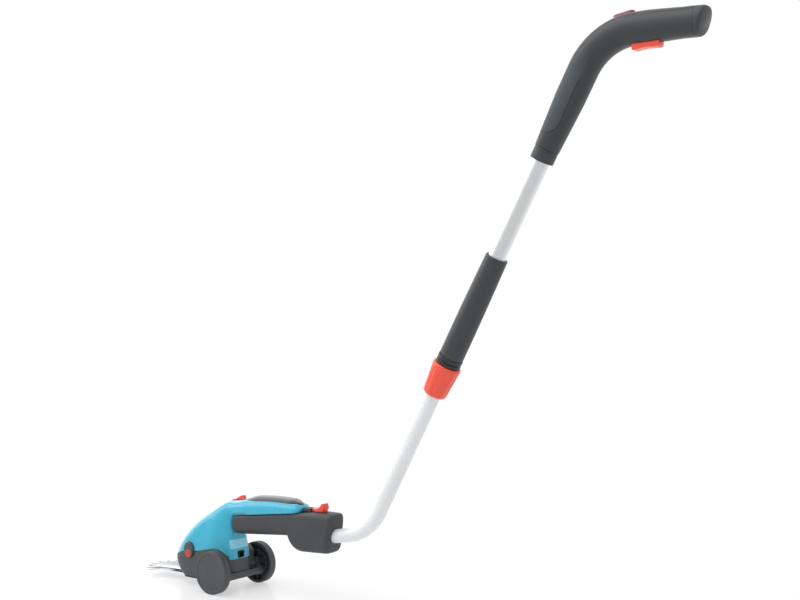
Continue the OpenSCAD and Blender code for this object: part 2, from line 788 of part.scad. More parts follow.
module sole_plate() {
    color(black) difference() {
        translate([0, 0, lower_blade_z - sole_plate_t]) linear_extrude(sole_plate_t) polygon([
            [sole_front_x, -10], [sole_front_x + 4, -20], [sole_front_x + 14, seam_gap - blade_bay_w / 2],
            [bay_rear_x - 2, seam_gap - blade_bay_w / 2], [bay_rear_x - 2, blade_bay_w / 2 - seam_gap],
            [sole_front_x + 14, blade_bay_w / 2 - seam_gap], [sole_front_x + 4, 20], [sole_front_x, 10]
        ]);
        translate([pivot_x, 0, 0]) cylinder(r = pivot_d / 2 + run_fit, h = 60);
        for (p = sole_screw_at)
            translate([p[0], p[1], 0]) cylinder(r = screw_r + run_fit, h = 60);
    }
}

module top_pad() {
    color(soft_grey) difference() {
        pad_form(0, 0);
        lock_stem(slide_gap, lock_travel);
    }
}

// The lock's stem through the pad and the housing, with room for its travel
module lock_stem(gap, travel) {
    translate([lock_x, 0, lock_z]) rotate([0, -lock_tilt, 0])
        translate([-5 - gap - travel, -2.5 - gap, -14])
            cube([10 + 2 * gap + travel, 5 + 2 * gap, 15]);
}

module switch_lock() {
    rib = 1.2;
    color(orange) {
        translate([lock_x, 0, lock_z]) rotate([0, -lock_tilt, 0]) {
            long_oval(lock_l, lock_w, 2.4);
            rotate([90, 0, 0]) translate([0, 0, -lock_w * 0.4]) linear_extrude(lock_w * 0.8)
                polygon([[-lock_l * 0.2, 2], [lock_l * 0.42, 2], [lock_l * 0.42, lock_h],
                    [lock_l * 0.3, lock_h + rib]]);
        }
        intersection() {
            lock_stem(0, 0);
            translate([lock_x, 0, lock_z]) rotate([0, -lock_tilt, 0]) translate([-20, -20, -14])
                cube([40, 40, 15]);
        }
    }
}

module head_trigger() {
    low = handle_under(head_trigger_front_x) - head_trigger_hang;
    color(dark_grey) difference() {
        side_slab([
            [head_trigger_front_x, low], [head_trigger_pin_x - 6,
                handle_under(head_trigger_pin_x) - head_trigger_hang],
            [head_trigger_pin_x + 4, handle_under(head_trigger_pin_x) + 1],
            [head_trigger_pin_x + 4.5, head_trigger_pin_z + 3.5],
                [head_trigger_pin_x - 5, head_trigger_pin_z + 3.5],
            [head_trigger_pin_x - 12, handle_under(head_trigger_pin_x) + 3],
                [head_trigger_front_x, low + 6]
        ], -head_trigger_w / 2, head_trigger_w / 2);
        along_y([head_trigger_pin_x, head_trigger_pin_z], trigger_pin_r + run_fit, -20, 20);
    }
}

module head_trigger_pin() {
    color(steel) along_y([head_trigger_pin_x, head_trigger_pin_z], trigger_pin_r, -pin_end, pin_end);
}

module head_switch() {
    z = handle_under(head_switch_x + switch_l) + wall + 4.4;
    color(black) translate([head_switch_x, -switch_w / 2, z])
        cube([switch_l, switch_w, pad_seat(head_switch_x) - wall * 0.8 - z - 0.4]);
}

function button_y() = head_half_w(button_x, button_z, 0);

module release_button(side) {
    face = button_y() + button_proud;
    color(dark_grey) scale([1, side, 1]) difference() {
        union() {
            oval_y(button_x, button_z, button_l, button_h, button_y() - 6, face - 0.8);
            oval_y(button_x, button_z, button_l - 2, button_h - 2, button_y() - 6, face);
            oval_y(button_x, button_z, button_l + 3, button_h + 3, button_y() - 9, button_y() - 6);
        }
        along_y([button_x, button_z - 5.5], button_disc_d / 2 + run_fit, face - 3, face + 5);
    }
}

module release_disc(side) {
    face = button_y() + button_proud;
    color(orange) scale([1, side, 1])
        along_y([button_x, button_z - 5.5], button_disc_d / 2, face - 3, face + 0.4);
}

module release_button_left() {
    release_button(1);
}

module release_button_right() {
    release_button(-1);
}

module release_disc_left() {
    release_disc(1);
}

module release_disc_right() {
    release_disc(-1);
}

socket_face_x = rear_back + 0.2;

module charging_socket() {
    color(black) difference() {
        translate([socket_face_x - socket_depth - 1.5, -socket_w / 2, socket_z - socket_h / 2])
            cube([socket_depth + 1.5, socket_w, socket_h]);
        translate([socket_face_x - socket_depth, 0, socket_z]) rotate([0, 90, 0])
            cylinder(d = socket_d, h = socket_depth + 5);
    }
}

module battery_cells() {
    color(green) for (side = [-1, 1])
        translate([cell_x, side * cell_y, cell_z]) cylinder(d = cell_d, h = cell_l);
}

module circuit_board() {
    z = cell_z + cell_l;
    color(green) {
        translate([board_x, -board_w / 2, z]) cube([board_l, board_w, board_t]);
        translate([cell_x - 12, -8, z + board_t]) cube([12, 14, 5]);
        translate([cell_x + 3, 0, z + board_t]) cylinder(d = 8, h = 9);
    }
}

module motor() {
    color(steel) difference() {
        translate([motor_x, 0, motor_z]) {
            cylinder(d = motor_d, h = motor_l);
            translate([0, 0, motor_l]) cylinder(d = motor_d * 0.4, h = 3);
        }
        translate([motor_x, 0, motor_z - 1]) cylinder(r = motor_shaft_r + run_fit, h = 13);
    }
}

// Straight-flanked gear teeth with room to run, standing on z = 0
module gear_wheel(teeth, height, phase) {
    r = gear_module * teeth / 2;
    step = 360 / teeth;
    tip = gear_module * 0.8;
    root = gear_module;
    linear_extrude(height) polygon([for (k = [0:teeth - 1]) each [
        (r - root) * [cos((k - 0.30) * step + phase), sin((k - 0.30) * step + phase)],
        (r + tip) * [cos((k - 0.10) * step + phase), sin((k - 0.10) * step + phase)],
        (r + tip) * [cos((k + 0.10) * step + phase), sin((k + 0.10) * step + phase)],
        (r - root) * [cos((k + 0.30) * step + phase), sin((k + 0.30) * step + phase)]]]);
}

module motor_pinion() {
    color(steel) translate([motor_x, 0, 0]) {
        translate([0, 0, gear_z]) gear_wheel(pinion_teeth, gear_h, 180 + 180 / pinion_teeth);
        translate([0, 0, gear_z + gear_h - 0.5])
            cylinder(r = motor_shaft_r, h = motor_z + 10 - gear_z - gear_h);
    }
}

module gear_plate() {
    color(black) difference() {
        union() {
            translate([gear_plate_front_x, -gear_plate_half_w, gear_plate_z])
                cube([gear_plate_rear_x - gear_plate_front_x, 2 * gear_plate_half_w, gear_plate_t]);
            for (x = [gear_plate_front_x + pillar_r, motor_x - 8], side = [-1, 1])
                translate([x, side * (gear_plate_half_w - pillar_r - 0.5), floor_top_z])
                    cylinder(r = pillar_r, h = gear_plate_z + 1 - floor_top_z);
        }
        translate([crank_x, 0, 0]) cylinder(r = crank_shaft_r + run_fit, h = 80);
        translate([motor_x, 0, 0]) cylinder(r = motor_shaft_r + 1.5, h = 80);
    }
}

module crank_gear() {
    color(copper) translate([crank_x, 0, 0]) {
        translate([0, 0, gear_z]) gear_wheel(gear_teeth, gear_h, 0);
        translate([0, 0, gear_z + gear_h - 0.5])
            cylinder(r = crank_shaft_r, h = gear_plate_z + gear_plate_t - gear_z - gear_h);
        translate([crank_throw, 0, upper_blade_z - 0.1])
            cylinder(r = crank_pin_r, h = gear_z - upper_blade_z + 1);
    }
}

// Teeth of a comb, spread like a fan round the middle of the comb
module comb(teeth, reach, spread) {
    root = reach - tooth_l;
    step = 2 * spread / (teeth - 1);
    for (k = [0:teeth - 1])
        rotate(180 - spread + k * step)
            polygon([[root - 6, -6.2], [root, -5.4], [reach - 1.5, -0.9], [reach, 0],
                [reach - 1.5, 0.9], [root, 5.4], [root - 6, 6.2]]);
    circle(r = root);
}

module lower_blade() {
    color(steel) translate([0, 0, lower_blade_z]) linear_extrude(blade_t) difference() {
        union() {
            translate([comb_x, 0]) comb(comb_teeth, comb_w / 2 + 1, 75);
            polygon([[comb_x, -20], [comb_x + 40, -17], [pivot_x + 28, -17], [pivot_x + 28, 17],
                [comb_x + 40, 17], [comb_x, 20]]);
        }
        translate([pivot_x, 0]) circle(r = pivot_d / 2 + run_fit);
    }
}

module upper_blade() {
    slot_half = crank_pin_r + 1;
    tail = crank_x + crank_throw + crank_pin_r + 5;
    color(steel) translate([0, 0, upper_blade_z]) linear_extrude(blade_t) difference() {
        union() {
            translate([comb_x, 0]) comb(comb_teeth - 1, comb_w / 2 - 2, 62.5);
            polygon([[comb_x, -17], [comb_x + 38, -12], [pivot_x - 8, -12], [pivot_x + 12, -9],
                [tail, -8], [tail, 8], [pivot_x + 12, 9], [pivot_x - 8, 12], [comb_x + 38, 12],
                [comb_x, 17]]);
        }
        translate([pivot_x, 0]) circle(r = pivot_d / 2 + run_fit);
        translate([crank_x - crank_throw - 1, -slot_half])
            square([crank_throw * 2 + 4 + crank_pin_r, 2 * slot_half]);
    }
}

module blade_pivot() {
    color(steel) translate([pivot_x, 0, 0]) {
        translate([0, 0, lower_blade_z - sole_plate_t + 0.3])
            cylinder(d = pivot_d, h = floor_top_z + 1 - lower_blade_z + sole_plate_t - 0.3);
        translate([0, 0, floor_top_z]) cylinder(d = pivot_d + 4, h = 2.5);
    }
}

module housing_screws() {
    color(steel) for (p = housing_screw_at)
        screw_y(p, screw_side(p) - 1, -screw_grip);
}

module sole_screws() {
    under = lower_blade_z - sole_plate_t;
    color(steel) for (p = sole_screw_at)
        translate([p[0], p[1], under - 1.2]) {
            cylinder(r = screw_head_r, h = 1.2);
            translate([0, 0, 0.6]) cylinder(r = screw_r, h = floor_top_z - under);
        }
}

module wheel_carrier() {
    color(dark_grey) difference() {
        union() {
            along_y([carrier_bar_x, carrier_bar_z], carrier_bar_d / 2, -fender_y - 1, fender_y + 1);
            box_between([carrier_bar_x - 0.4, -fender_y - 1, carrier_bar_z],
                        [carrier_bar_x - 0.4 + carrier_web_t, fender_y + 1, carrier_web_z]);
            for (side = [-1, 1])
                translate([0, side > 0 ? arm_y : -fender_y - seam_gap / 2, 0]) rotate([90, 0, 0])
                    linear_extrude(carrier_arm_t - seam_gap / 2) hull() {
                    translate([carrier_bar_x, carrier_bar_z]) circle(d = carrier_bar_d + 2, $fn = 32);
                    translate([0, axis_z]) circle(d = axle_d + 9, $fn = 32);
                }
        }
        along_y([0, axis_z], axle_d / 2 + run_fit, -100, 100);
    }
}

module axle(side) {
    color(steel) scale([1, side, 1]) along_y([0, axis_z], axle_d / 2, fender_y - 4, axle_end_y);
}

module axle_left() {
    axle(1);
}

module axle_right() {
    axle(-1);
}

// A wheel turned about its axle: closed outside, hollow with a ring inside
module wheel(side) {
    r = wheel_r;
    rim_t = 5;
    web = 4;
    out = rim_out_y;
    in = rim_in_y;
    color(dark_grey) scale([1, side, 1]) translate([0, 0, axis_z]) rotate([-90, 0, 0])
        rotate_extrude($fn = 72)
        polygon([
            [axle_d / 2 + run_fit, hub_y], [hub_r, hub_y], [hub_r, out - web], [r * 0.56, out - web],
                [r * 0.56, in + 3],
            [r * 0.64, in + 3], [r * 0.64, out - web], [r - rim_t, out - web], [r - rim_t, in + 0.8],
                [r - rim_t + 0.8, in],
            [r - 1.2, in], [r, in + 1.2], [r, out - 2], [r - 2, out], [r - 4.5, out],
                [r - 5.2, out - 0.8], [r * 0.4, out - 0.2],
            [r * 0.2, out - 0.3], [r * 0.18, out], [0, out], [0, axle_end_y + 0.4],
                [axle_d / 2 + run_fit, axle_end_y + 0.4]
        ]);
}

module wheel_left() {
    wheel(1);
}

module wheel_right() {
    wheel(-1);
}

module entry_tube(r, l, extra) {
    at = corner - entry_dir * bend_tangent;
    translate([at[0], 0, at[1]]) rotate([0, 270 - entry_angle, 0]) translate([0, 0, -extra])
        cylinder(r = r, h = l + extra);
}

module adapter_half(side) {
    difference() {
        intersection() {
            union() {
                difference() {
                    adapter_form(0);
                    adapter_form(box_wall);
                }
                intersection() {
                    entry_tube(lower_r + 4, tube_front_l + 4, 0);
                    adapter_form(box_wall / 2);
                }
                box_between([tail_x + 1.5, -guide_w / 2, box_top_z - 8],
                            [latch_x - 1, guide_w / 2, latch_z + latch_nose_h + slide_gap + guide_wall]);
                for (p = adapter_screw_at)
                    along_y(p, boss_r, side > 0 ? 0 : 1.4 - adapter_half_w(p[0]),
                        side > 0 ? adapter_half_w(p[0]) - 1.4 : 0);
            }
            side_space(side);
        }
        entry_tube(lower_r + run_fit, tube_front_l + 0.3, 40);
        box_between([head_trigger_front_x - 2, -head_trigger_w / 2 - slide_gap,
            handle_under(head_trigger_front_x) - 9],
                    [head_trigger_pin_x + 8, head_trigger_w / 2 + slide_gap, 200]);
        latch_stem(slide_gap, latch_travel);
        latch_way();
        for (p = adapter_screw_at) {
            along_y(p, screw_r + run_fit, -screw_grip - 1, 40);
            if (side > 0)
                along_y(p, screw_head_r + run_fit, adapter_half_w(p[0]) - screw_head_t - 1.4, 60);
        }
    }
}

module adapter_left() {
    color(dark_grey) adapter_half(1);
}

module adapter_right() {
    color(dark_grey) adapter_half(-1);
}

// The latch's stem through the top of the box, with room for its travel
module latch_stem(gap, travel) {
    box_between([latch_x + 12 - gap, -3 - gap, box_top_z - 7],
        [latch_x + 22 + gap + travel, 3 + gap, latch_z + 1]);
}

// The way of the latch's nose through its guide into the end of the handle
module latch_way() {
    box_between([tail_x - 14, -latch_nose_w / 2 - slide_gap, latch_z - slide_gap],
                [latch_x + 2, latch_nose_w / 2 + slide_gap, latch_z + latch_nose_h + slide_gap]);
}

module adapter_latch() {
    h = latch_h;
    color(orange) {
        translate([latch_x + latch_l / 2, 0, latch_z]) long_oval(latch_l, latch_w, 4);
        box_between([latch_x - latch_nose_l, -latch_nose_w / 2, latch_z],
            [latch_x + 12, latch_nose_w / 2, latch_z + latch_nose_h]);
        side_slab([[latch_x + latch_l * 0.42, latch_z + 3.5], [latch_x + latch_l * 0.94, latch_z + 3.5],
            [latch_x + latch_l * 0.96, latch_z + h * 0.55],
                   [latch_x + latch_l * 0.9, latch_z + h], [latch_x + latch_l * 0.82, latch_z + h],
                       [latch_x + latch_l * 0.6, latch_z + h * 0.5]],
                  -latch_w * 0.42, latch_w * 0.42);
        latch_stem(0, 0);
    }
}

module contact_block() {
    top = adapter_top(box_front_x + 8) - box_wall - 0.9;
    color(black) {
        translate([box_front_x + 6, -9, top - 12]) cube([18, 18, 12]);
        for (y = [-5, 0, 5])
            translate([box_front_x + 20, y - 0.8, top - 8]) cube([9, 1.6, 4]);
    }
}

module adapter_screws() {
    color(steel) for (p = adapter_screw_at)
        screw_y(p, adapter_half_w(p[0]) - 1.4, -screw_grip);
}

// The bent tube's solid form: straight in the box, an arc, and straight into the clamp
module tube_form(r, extra) {
    bend_start = corner - entry_dir * bend_tangent;
    hub = bend_start + bend_r * [-sin(entry_angle), cos(entry_angle)];
    entry_tube(r, tube_front_l + extra, tube_lap);
    translate([hub[0], 0, hub[1]]) rotate([90, 0, 0]) rotate(entry_angle - 90)
        rotate_extrude(angle = bend_angle) translate([bend_r, 0]) circle(r = r - tube_step);
    on_tube(bend_tangent - clamp_start - tube_lap)
        cylinder(r = r, h = clamp_start - bend_tangent + inserted_l + tube_lap + extra);
}

module lower_tube() {
    color(white_metal) difference() {
        tube_form(lower_r, 0);
        tube_form(lower_r - lower_tube_wall, 1);
    }
}

module tube_ring(s, l, r_out, r_in) {
    on_tube(s) difference() {
        cylinder(r = r_out, h = l);
        translate([0, 0, -1]) cylinder(r = r_in, h = l + 2);
    }
}

module tube_bush() {
    color(black) tube_ring(inserted_l - bush_l, bush_l, bore_r - run_fit, lower_r + run_fit / 2);
}

module upper_tube() {
    color(white_metal) tube_ring(upper_tube_s, upper_tube_end_s - upper_tube_s, upper_r, bore_r);
}

// The nut: a tapered cup with shallow flutes that turns on the collet
module clamp_nut() {
    flute_r = 9;
    color(orange) on_tube(0) difference() {
        rotate_extrude($fn = 96) polygon([
            [lower_r + 0.8, 0], [nut_low_d / 2 - 4, 0], [nut_low_d / 2 - 1.2, 1.2], [nut_low_d / 2, 4],
            [nut_top_d / 2 - 0.6, nut_l - 5], [nut_top_d / 2, nut_l - 3],
                [nut_top_d / 2 - 0.8, nut_l - 0.5], [nut_top_d / 2 - 2, nut_l],
            [collet_r + run_fit, nut_l], [collet_r + run_fit, 8], [lower_r + 0.8, 5]
        ]);
        for (k = [0:nut_flutes - 1])
            rotate(360 * k / nut_flutes) translate([nut_low_d / 2 + flute_r - 0.9, 0, -1])
                rotate([0, atan((nut_top_d - nut_low_d) / 2 / nut_l), 0])
                    cylinder(r = flute_r, h = nut_l - 6);
    }
}

// The collet: a threaded sleeve on the upper tube whose fingers grip the lower tube
module clamp_collet() {
    low = 9;
    color(black) on_tube(low) difference() {
        cylinder(r = collet_r, h = nut_l - low);
        translate([0, 0, -1]) cylinder(r = lower_r + run_fit, h = 60);
        translate([0, 0, upper_tube_s - low - run_fit]) cylinder(r = upper_r + run_fit, h = 60);
        for (a = [0, 90])
            rotate(a) translate([-20, -0.8, -1]) cube([40, 1.6, 22]);
    }
}

module clamp_ring() {
    color(black) on_tube(ring_s) difference() {
        rotate_extrude($fn = 72) polygon([
            [upper_r + run_fit, 0], [ring_d / 2 - 1.5, 0], [ring_d / 2, 1.5], [ring_d / 2, 4.5],
                [ring_d / 2 - 1.6, 5],
            [ring_d / 2 - 1.6, 6.5], [ring_d / 2, 7], [ring_d / 2, ring_l - 1.5],
                [ring_d / 2 - 1.5, ring_l], [upper_r + run_fit, ring_l]
        ]);
    }
}

module middle_grip() {
    low = sleeve_low_d / 2;
    top = sleeve_top_d / 2;
    steps = 6;
    color(dark_grey) on_tube(sleeve_s)
        rotate_extrude($fn = 72) polygon(concat(
            [[upper_r + run_fit, 0], [low - 1, 0], [low, 1]],
            [for (k = [1:steps]) [between(low, top, k / steps) + 0.5 * sin(180 * k / steps),
                1 + (sleeve_l - 3) * k / steps]],
            [[top - 0.4, sleeve_l - 0.4], [top - 1.2, sleeve_l], [upper_r + run_fit, sleeve_l]]));
}

module grip_collar() {
    r = collar_d / 2;
    color(dark_grey) on_tube(collar_s) rotate_extrude($fn = 72) polygon([
        [upper_r + run_fit, 0], [r - 2, 0], [r - 0.6, 0.6], [r, 2], [r, collar_l - 0.6],
            [r - 0.6, collar_l], [upper_r + run_fit, collar_l]
    ]);
}

// Spaces that the soft pieces and the end cap take out of the grip
module panel_space(gap) {
    on_tube(grip_s) {
        translate([-80, -60, 26 - gap]) cube([80 - panel_cut + gap, 120, panel_end_s - 26 + 2 * gap]);
        translate([-80, 0, 26]) rotate([0, 90, 0]) cylinder(r = 14 + gap, h = 80 - panel_cut + gap);
    }
}

module pad_space(gap) {
    box_between([safety_at[0] + safety_l / 2 + 6 - gap, -40, pad_cut_z - gap],
        [cap_x - 5 + gap, 40, 1000]);
}

module cap_space(gap) {
    box_between([cap_x - gap, -60, grip_level_z - 80], [cap_x + 80, 60, grip_level_z + 80]);
}

module trigger_slot() {
    box_between([trigger_x - 2, -trigger_w / 2 - slide_gap, 0],
                [trigger_x + trigger_l + 1.5, trigger_w / 2 + slide_gap,
                    trigger_top_z + trigger_l * sin(trigger_swing) + 1.5]);
}

module safety_space(gap, deep) {
    translate([safety_at[0], 0, safety_at[1]]) rotate([0, -safety_tilt, 0]) translate([0, 0, -deep])
        long_oval(safety_l + 2 * gap, safety_w + 2 * gap, 40);
}

module grip_half(side) {
    difference() {
        intersection() {
            union() {
                difference() {
                    grip_form(0);
                    grip_form(grip_wall);
                }
                for (p = grip_screw_at)
                    along_y(p, boss_r, side > 0 ? 0 : 3 - grip_w / 2, side > 0 ? grip_w / 2 - 3 : 0);
                along_y([trigger_pin_x, trigger_pin_z], 4,
                    side > 0 ? trigger_w / 2 + slide_gap : -trigger_pin_end - 0.8,
                        side > 0 ? trigger_pin_end + 0.8 : -trigger_w / 2 - slide_gap);
                box_between([handle_switch_x, side > 0 ? switch_w / 2 + run_fit : 3 - grip_w / 2,
                    handle_switch_z],
                            [handle_switch_x + switch_l, side > 0 ? grip_w / 2 - 3
                                : -switch_w / 2 - run_fit, handle_switch_z + switch_h]);
            }
            side_space(side);
        }
        on_tube(grip_s - 1) cylinder(r = upper_r + run_fit, h = grip_tube_l + 1);
        panel_space(seam_gap);
        pad_space(seam_gap);
        cap_space(seam_gap);
        trigger_slot();
        safety_space(slide_gap, 5.5);
        along_y([trigger_pin_x, trigger_pin_z], trigger_pin_r + run_fit, -trigger_pin_end - 0.3,
            trigger_pin_end + 0.3);
        for (p = grip_screw_at) {
            along_y(p, screw_r + run_fit, -screw_grip - 1, 40);
            if (side > 0)
                along_y(p, screw_head_r + run_fit, grip_w / 2 - screw_head_t - 3, 60);
        }
    }
}

module grip_left() {
    color(dark_grey) grip_half(1);
}

module grip_right() {
    color(dark_grey) grip_half(-1);
}

module grip_front_panel() {
    color(soft_grey) intersection() {
        difference() {
            grip_form(0);
            grip_form(grip_wall + 2);
        }
        panel_space(0);
    }
}

module grip_top_pad() {
    color(soft_grey) intersection() {
        difference() {
            grip_form(0);
            grip_form(grip_wall + 1);
        }
        pad_space(0);
    }
}

module grip_end_cap() {
    color(soft_grey) intersection() {
        difference() {
            grip_form(0);
            grip_form(grip_wall);
        }
        cap_space(0);
    }
}

module handle_trigger() {
    low = grip_level_z - grip_h / 2;
    color(orange) difference() {
        side_slab([
            [trigger_x, low - trigger_hang + 1.2], [trigger_x + 1.2, low - trigger_hang],
            [trigger_x + trigger_l * 0.45, low - trigger_hang + 1.4],
                [trigger_x + trigger_l - 3, low - trigger_hang + 0.6],
            [trigger_x + trigger_l, low - trigger_hang + 3], [trigger_x + trigger_l, trigger_top_z - 2],
            [trigger_x + trigger_l - 6, trigger_top_z], [trigger_pin_x + 6, trigger_top_z],
            [trigger_pin_x + 4.5, trigger_pin_z + 4], [trigger_pin_x - 4, trigger_pin_z + 4],
                [trigger_x - 0.5, trigger_pin_z]
        ], -trigger_w / 2, trigger_w / 2);
        along_y([trigger_pin_x, trigger_pin_z], trigger_pin_r + run_fit, -20, 20);
    }
}

module handle_trigger_pin() {
    color(steel) along_y([trigger_pin_x, trigger_pin_z], trigger_pin_r, -trigger_pin_end,
        trigger_pin_end);
}

module safety_button() {
    color(orange) translate([safety_at[0], 0, safety_at[1]]) rotate([0, -safety_tilt, 0]) {
        translate([0, 0, -8]) long_oval(safety_l, safety_w, 8 + safety_up - 0.6);
        translate([0, 0, -8]) long_oval(safety_l - 2, safety_w - 2, 8 + safety_up);
        translate([0, 0, -9.5]) long_oval(safety_l + 3, safety_w + 3, 3.5);
    }
}

module handle_switch() {
    color(black) {
        translate([handle_switch_x, -switch_w / 2, handle_switch_z]) cube([switch_l, switch_w, switch_h]);
        translate([handle_switch_x + switch_l / 2, 0, handle_switch_z - 1.5]) cylinder(r = 1.5, h = 3);
    }
}

module grip_screws() {
    color(steel) for (p = grip_screw_at)
        screw_y(p, grip_w / 2 - 3, -screw_grip);
}

housing_left();
housing_right();
base_housing();
sole_plate();
top_pad();
switch_lock();
head_trigger();
head_trigger_pin();
head_switch();
release_button_left();
release_button_right();
release_disc_left();
release_disc_right();
charging_socket();
battery_cells();
circuit_board();
motor();
motor_pinion();
gear_plate();
crank_gear();
lower_blade();
upper_blade();
blade_pivot();
housing_screws();
sole_screws();
wheel_carrier();
axle_left();
axle_right();
wheel_left();
wheel_right();
adapter_left();
adapter_right();
adapter_latch();
contact_block();
adapter_screws();
lower_tube();
tube_bush();
upper_tube();
clamp_nut();
clamp_collet();
clamp_ring();
middle_grip();
grip_collar();
grip_left();
grip_right();
grip_front_panel();
grip_top_pad();
grip_end_cap();
handle_trigger();
handle_trigger_pin();
safety_button();
handle_switch();
grip_screws();
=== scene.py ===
"""Looks and studio for the cordless grass shears on wheels with a telescopic handle."""
import json
import math

import bmesh
import bpy
import numpy as np
from mathutils import Matrix, Vector


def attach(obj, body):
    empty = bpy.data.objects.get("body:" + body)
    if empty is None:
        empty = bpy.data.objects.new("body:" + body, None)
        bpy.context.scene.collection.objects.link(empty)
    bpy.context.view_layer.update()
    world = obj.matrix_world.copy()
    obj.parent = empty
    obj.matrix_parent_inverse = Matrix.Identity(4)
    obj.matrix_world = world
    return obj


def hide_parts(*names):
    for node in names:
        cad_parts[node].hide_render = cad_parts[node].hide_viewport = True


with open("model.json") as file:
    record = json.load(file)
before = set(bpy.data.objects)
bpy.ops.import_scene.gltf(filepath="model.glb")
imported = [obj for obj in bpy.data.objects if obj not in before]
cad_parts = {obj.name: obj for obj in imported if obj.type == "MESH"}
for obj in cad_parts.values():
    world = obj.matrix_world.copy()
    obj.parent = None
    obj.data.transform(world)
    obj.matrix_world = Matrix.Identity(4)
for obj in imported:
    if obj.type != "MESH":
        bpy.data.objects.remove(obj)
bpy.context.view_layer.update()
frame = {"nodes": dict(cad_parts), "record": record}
MM = 0.001

# Sizes of the object in millimetres and degrees, with shares and powers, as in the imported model: the head
HEAD_W, NOSE_REACH, NOSE_Z, NOSE_TUCK = 72, 127, 45, 14
CROWN_Z, CROWN_BACK, CROWN_POWER = 151, 24, 1.5
SHOULDER_Z, SHOULDER_TUCK = 50, 3
REAR_BACK, REAR_LEAN, REAR_ROUND, REAR_SWEEP = 12.5, 0.12, 22, 45
LEAN_RUN, TURN_SHARE, EDGE_W = 40, 0.7, 0.4
WALL, INNER_SHARE, BASE_Z, REAR_SOLE_Z = 2.5, 0.8, 15, 28.5
SOLE_RAMP_X, SOLE_RAMP_END_X, SEAM_REAR_Z = -34, -2, 51.5
HUMP_X, HUMP_Z, HUMP_END_X, HUMP_IN_Y, BOSS_R = -6, 69, 4, 21, 9
FLOOR_UNDER_Z, FLOOR_TOP_Z, BAY_FRONT_X, BAY_REAR_X, BAY_W = 18.3, 20.8, -140, -38, 57
BUTTON_X, BUTTON_Z, BUTTON_L, BUTTON_H, BUTTON_PROUD = -74.7, 61, 22, 26, 4
FLANGE_W, DISC_DROP, DISC_D, DISH_R, DISH_DEPTH = 3, 5.5, 14, 7.1, 3
BUTTON_HOLE_Y, BUTTON_TAPER = 20, 0.55
SOCKET_HALF_W, SOCKET_LOW_Z, SOCKET_TOP_Z = 7.3, 52.8, 64.4
SLIDE_GAP, SEAM_GAP, SCREW_HEAD_R, SCREW_GAP = 0.4, 0.3, 2.8, 0.25
PLATE_W, PLATE_LOW_Z, PLATE_TOP_Z, PLATE_ROUND = 42, 69, 84, 1.6
PLATE_SINK, PLATE_LIFT = -0.5, 0.2
HOUSING_SCREWS = [(-92, 66), (-60, 100), (-29, 117), (136, 148.5)]
# The head's handle, its pad, lock and trigger slot
HANDLE_W, HANDLE_LOW_Z, HANDLE_TILT, HANDLE_POWER = 40, 127, 7.6, 3
HANDLE_TOP_Z, HANDLE_TOP_X, HANDLE_BOW = 158.5, 110, 12
HANDLE_ROOT_SHARE, HANDLE_ROOT_X, HANDLE_ROOT_L = 0.35, -10, 40
TAIL_X, TAIL_ROUND, TAIL_DROP = 154, 12, 6
PAD_DEPTH, PAD_RISE, PAD_W, PAD_FRONT_X, PAD_REAR_X = 4, 5.4, 26, -13, 149
PAD_TIP_X, PAD_TIP_W, PAD_TIP_L, PAD_TIP_DEPTH, PAD_SEAT_L = -14, 0.3, 75, 0.55, 60
PAD_RISE_X, PAD_RISE_L, PAD_END_X, PAD_END_L, PAD_TURN_L = 18, 40, 127, 23, 15
PAD_DIP, PAD_DIP_X, PAD_DIP_L = 0.6, 132, 16
LOCK_X, LOCK_L, LOCK_W, LOCK_TILT, LOCK_TRAVEL = 8, 30, 9, 11.3, 4
SLOT_FRONT_X, SLOT_REAR_X, SLOT_HALF_W, SLOT_DEPTH = 40, 116, 6.4, 9
# The wheels
AXIS_Z, WHEEL_R, HUB_Y, HUB_R, FENDER_Y = 35, 35, 44, 9, 39.5
RIM_IN, RIM_OUT, RIM_W, FACE_DEPTH, RIB_COUNT = 47.2, 60.2, 5, 4, 6
AXLE_BORE, AXLE_END = 3.05, 56.6
# The bar and the box of the adapter
BAR_W, BAR_FRONT_X, BAR_LOW_Z, BAR_TILT, BAR_TILT_X = 38, 5.8, 94.5, 5.2, 21
BAR_END_H, BAR_END_W, BAR_POWER, BAR_TOP_POWER = 13, 4, 3.2, 9
BOX_W, BOX_FRONT_X, BOX_CURVE_L, BOX_REAR_X, BOX_WALL = 40, 132, 28, 223, 2.4
BOX_LOW_Z, BOX_TOP_Z, BOX_LEAN, BOX_SLOPE, BOX_POWER = 82.6, 148.5, 0.11, 0.045, 5
BOX_TURN, BOX_TOP_TURN, BOX_SIDE_TURN = 8, 3, 7
POWER_X, TOP_POWER_X, POWER_RUN = 112, 150, 36
LATCH_X, LATCH_Z, LATCH_HALF_W = 173, 148.7, 4.4
ADAPTER_SCREWS = [(168, 94.5), (206, 92.5), (184, 138), (78, 116)]
# The tubes and what sits on them
TUBE_ANGLE, ENTRY_ANGLE, BEND_R, CORNER = 61.2, 10, 85, np.array([287.2, 124.9])
LOWER_R, LOWER_WALL, UPPER_R, UPPER_BORE, SEAT_R = 11, 1.2, 13, 11.6, 13.05
CLAMP_START, INSERTED_L, TUBE_IN_BOX, TUBE_IN_NUT, TUBE_IN_GRIP = 251.3, 200, 42, 44, 44
NUT_L, NUT_LOW_D, NUT_TOP_D, NUT_BORE_R = 51, 36.5, 43.5, 15.45
NUT_FLUTES, FLUTE_DEPTH = 10, 0.85
RING_L, RING_D, RING_GROOVE = 13, 38, 1.6
SLEEVE_L, SLEEVE_LOW_D, SLEEVE_TOP_D, SLEEVE_SWELL = 164, 37, 33.5, 0.5
COLLAR_L, COLLAR_D, COLLAR_GROOVE, BARE_L = 18, 34.6, 0.5, 151
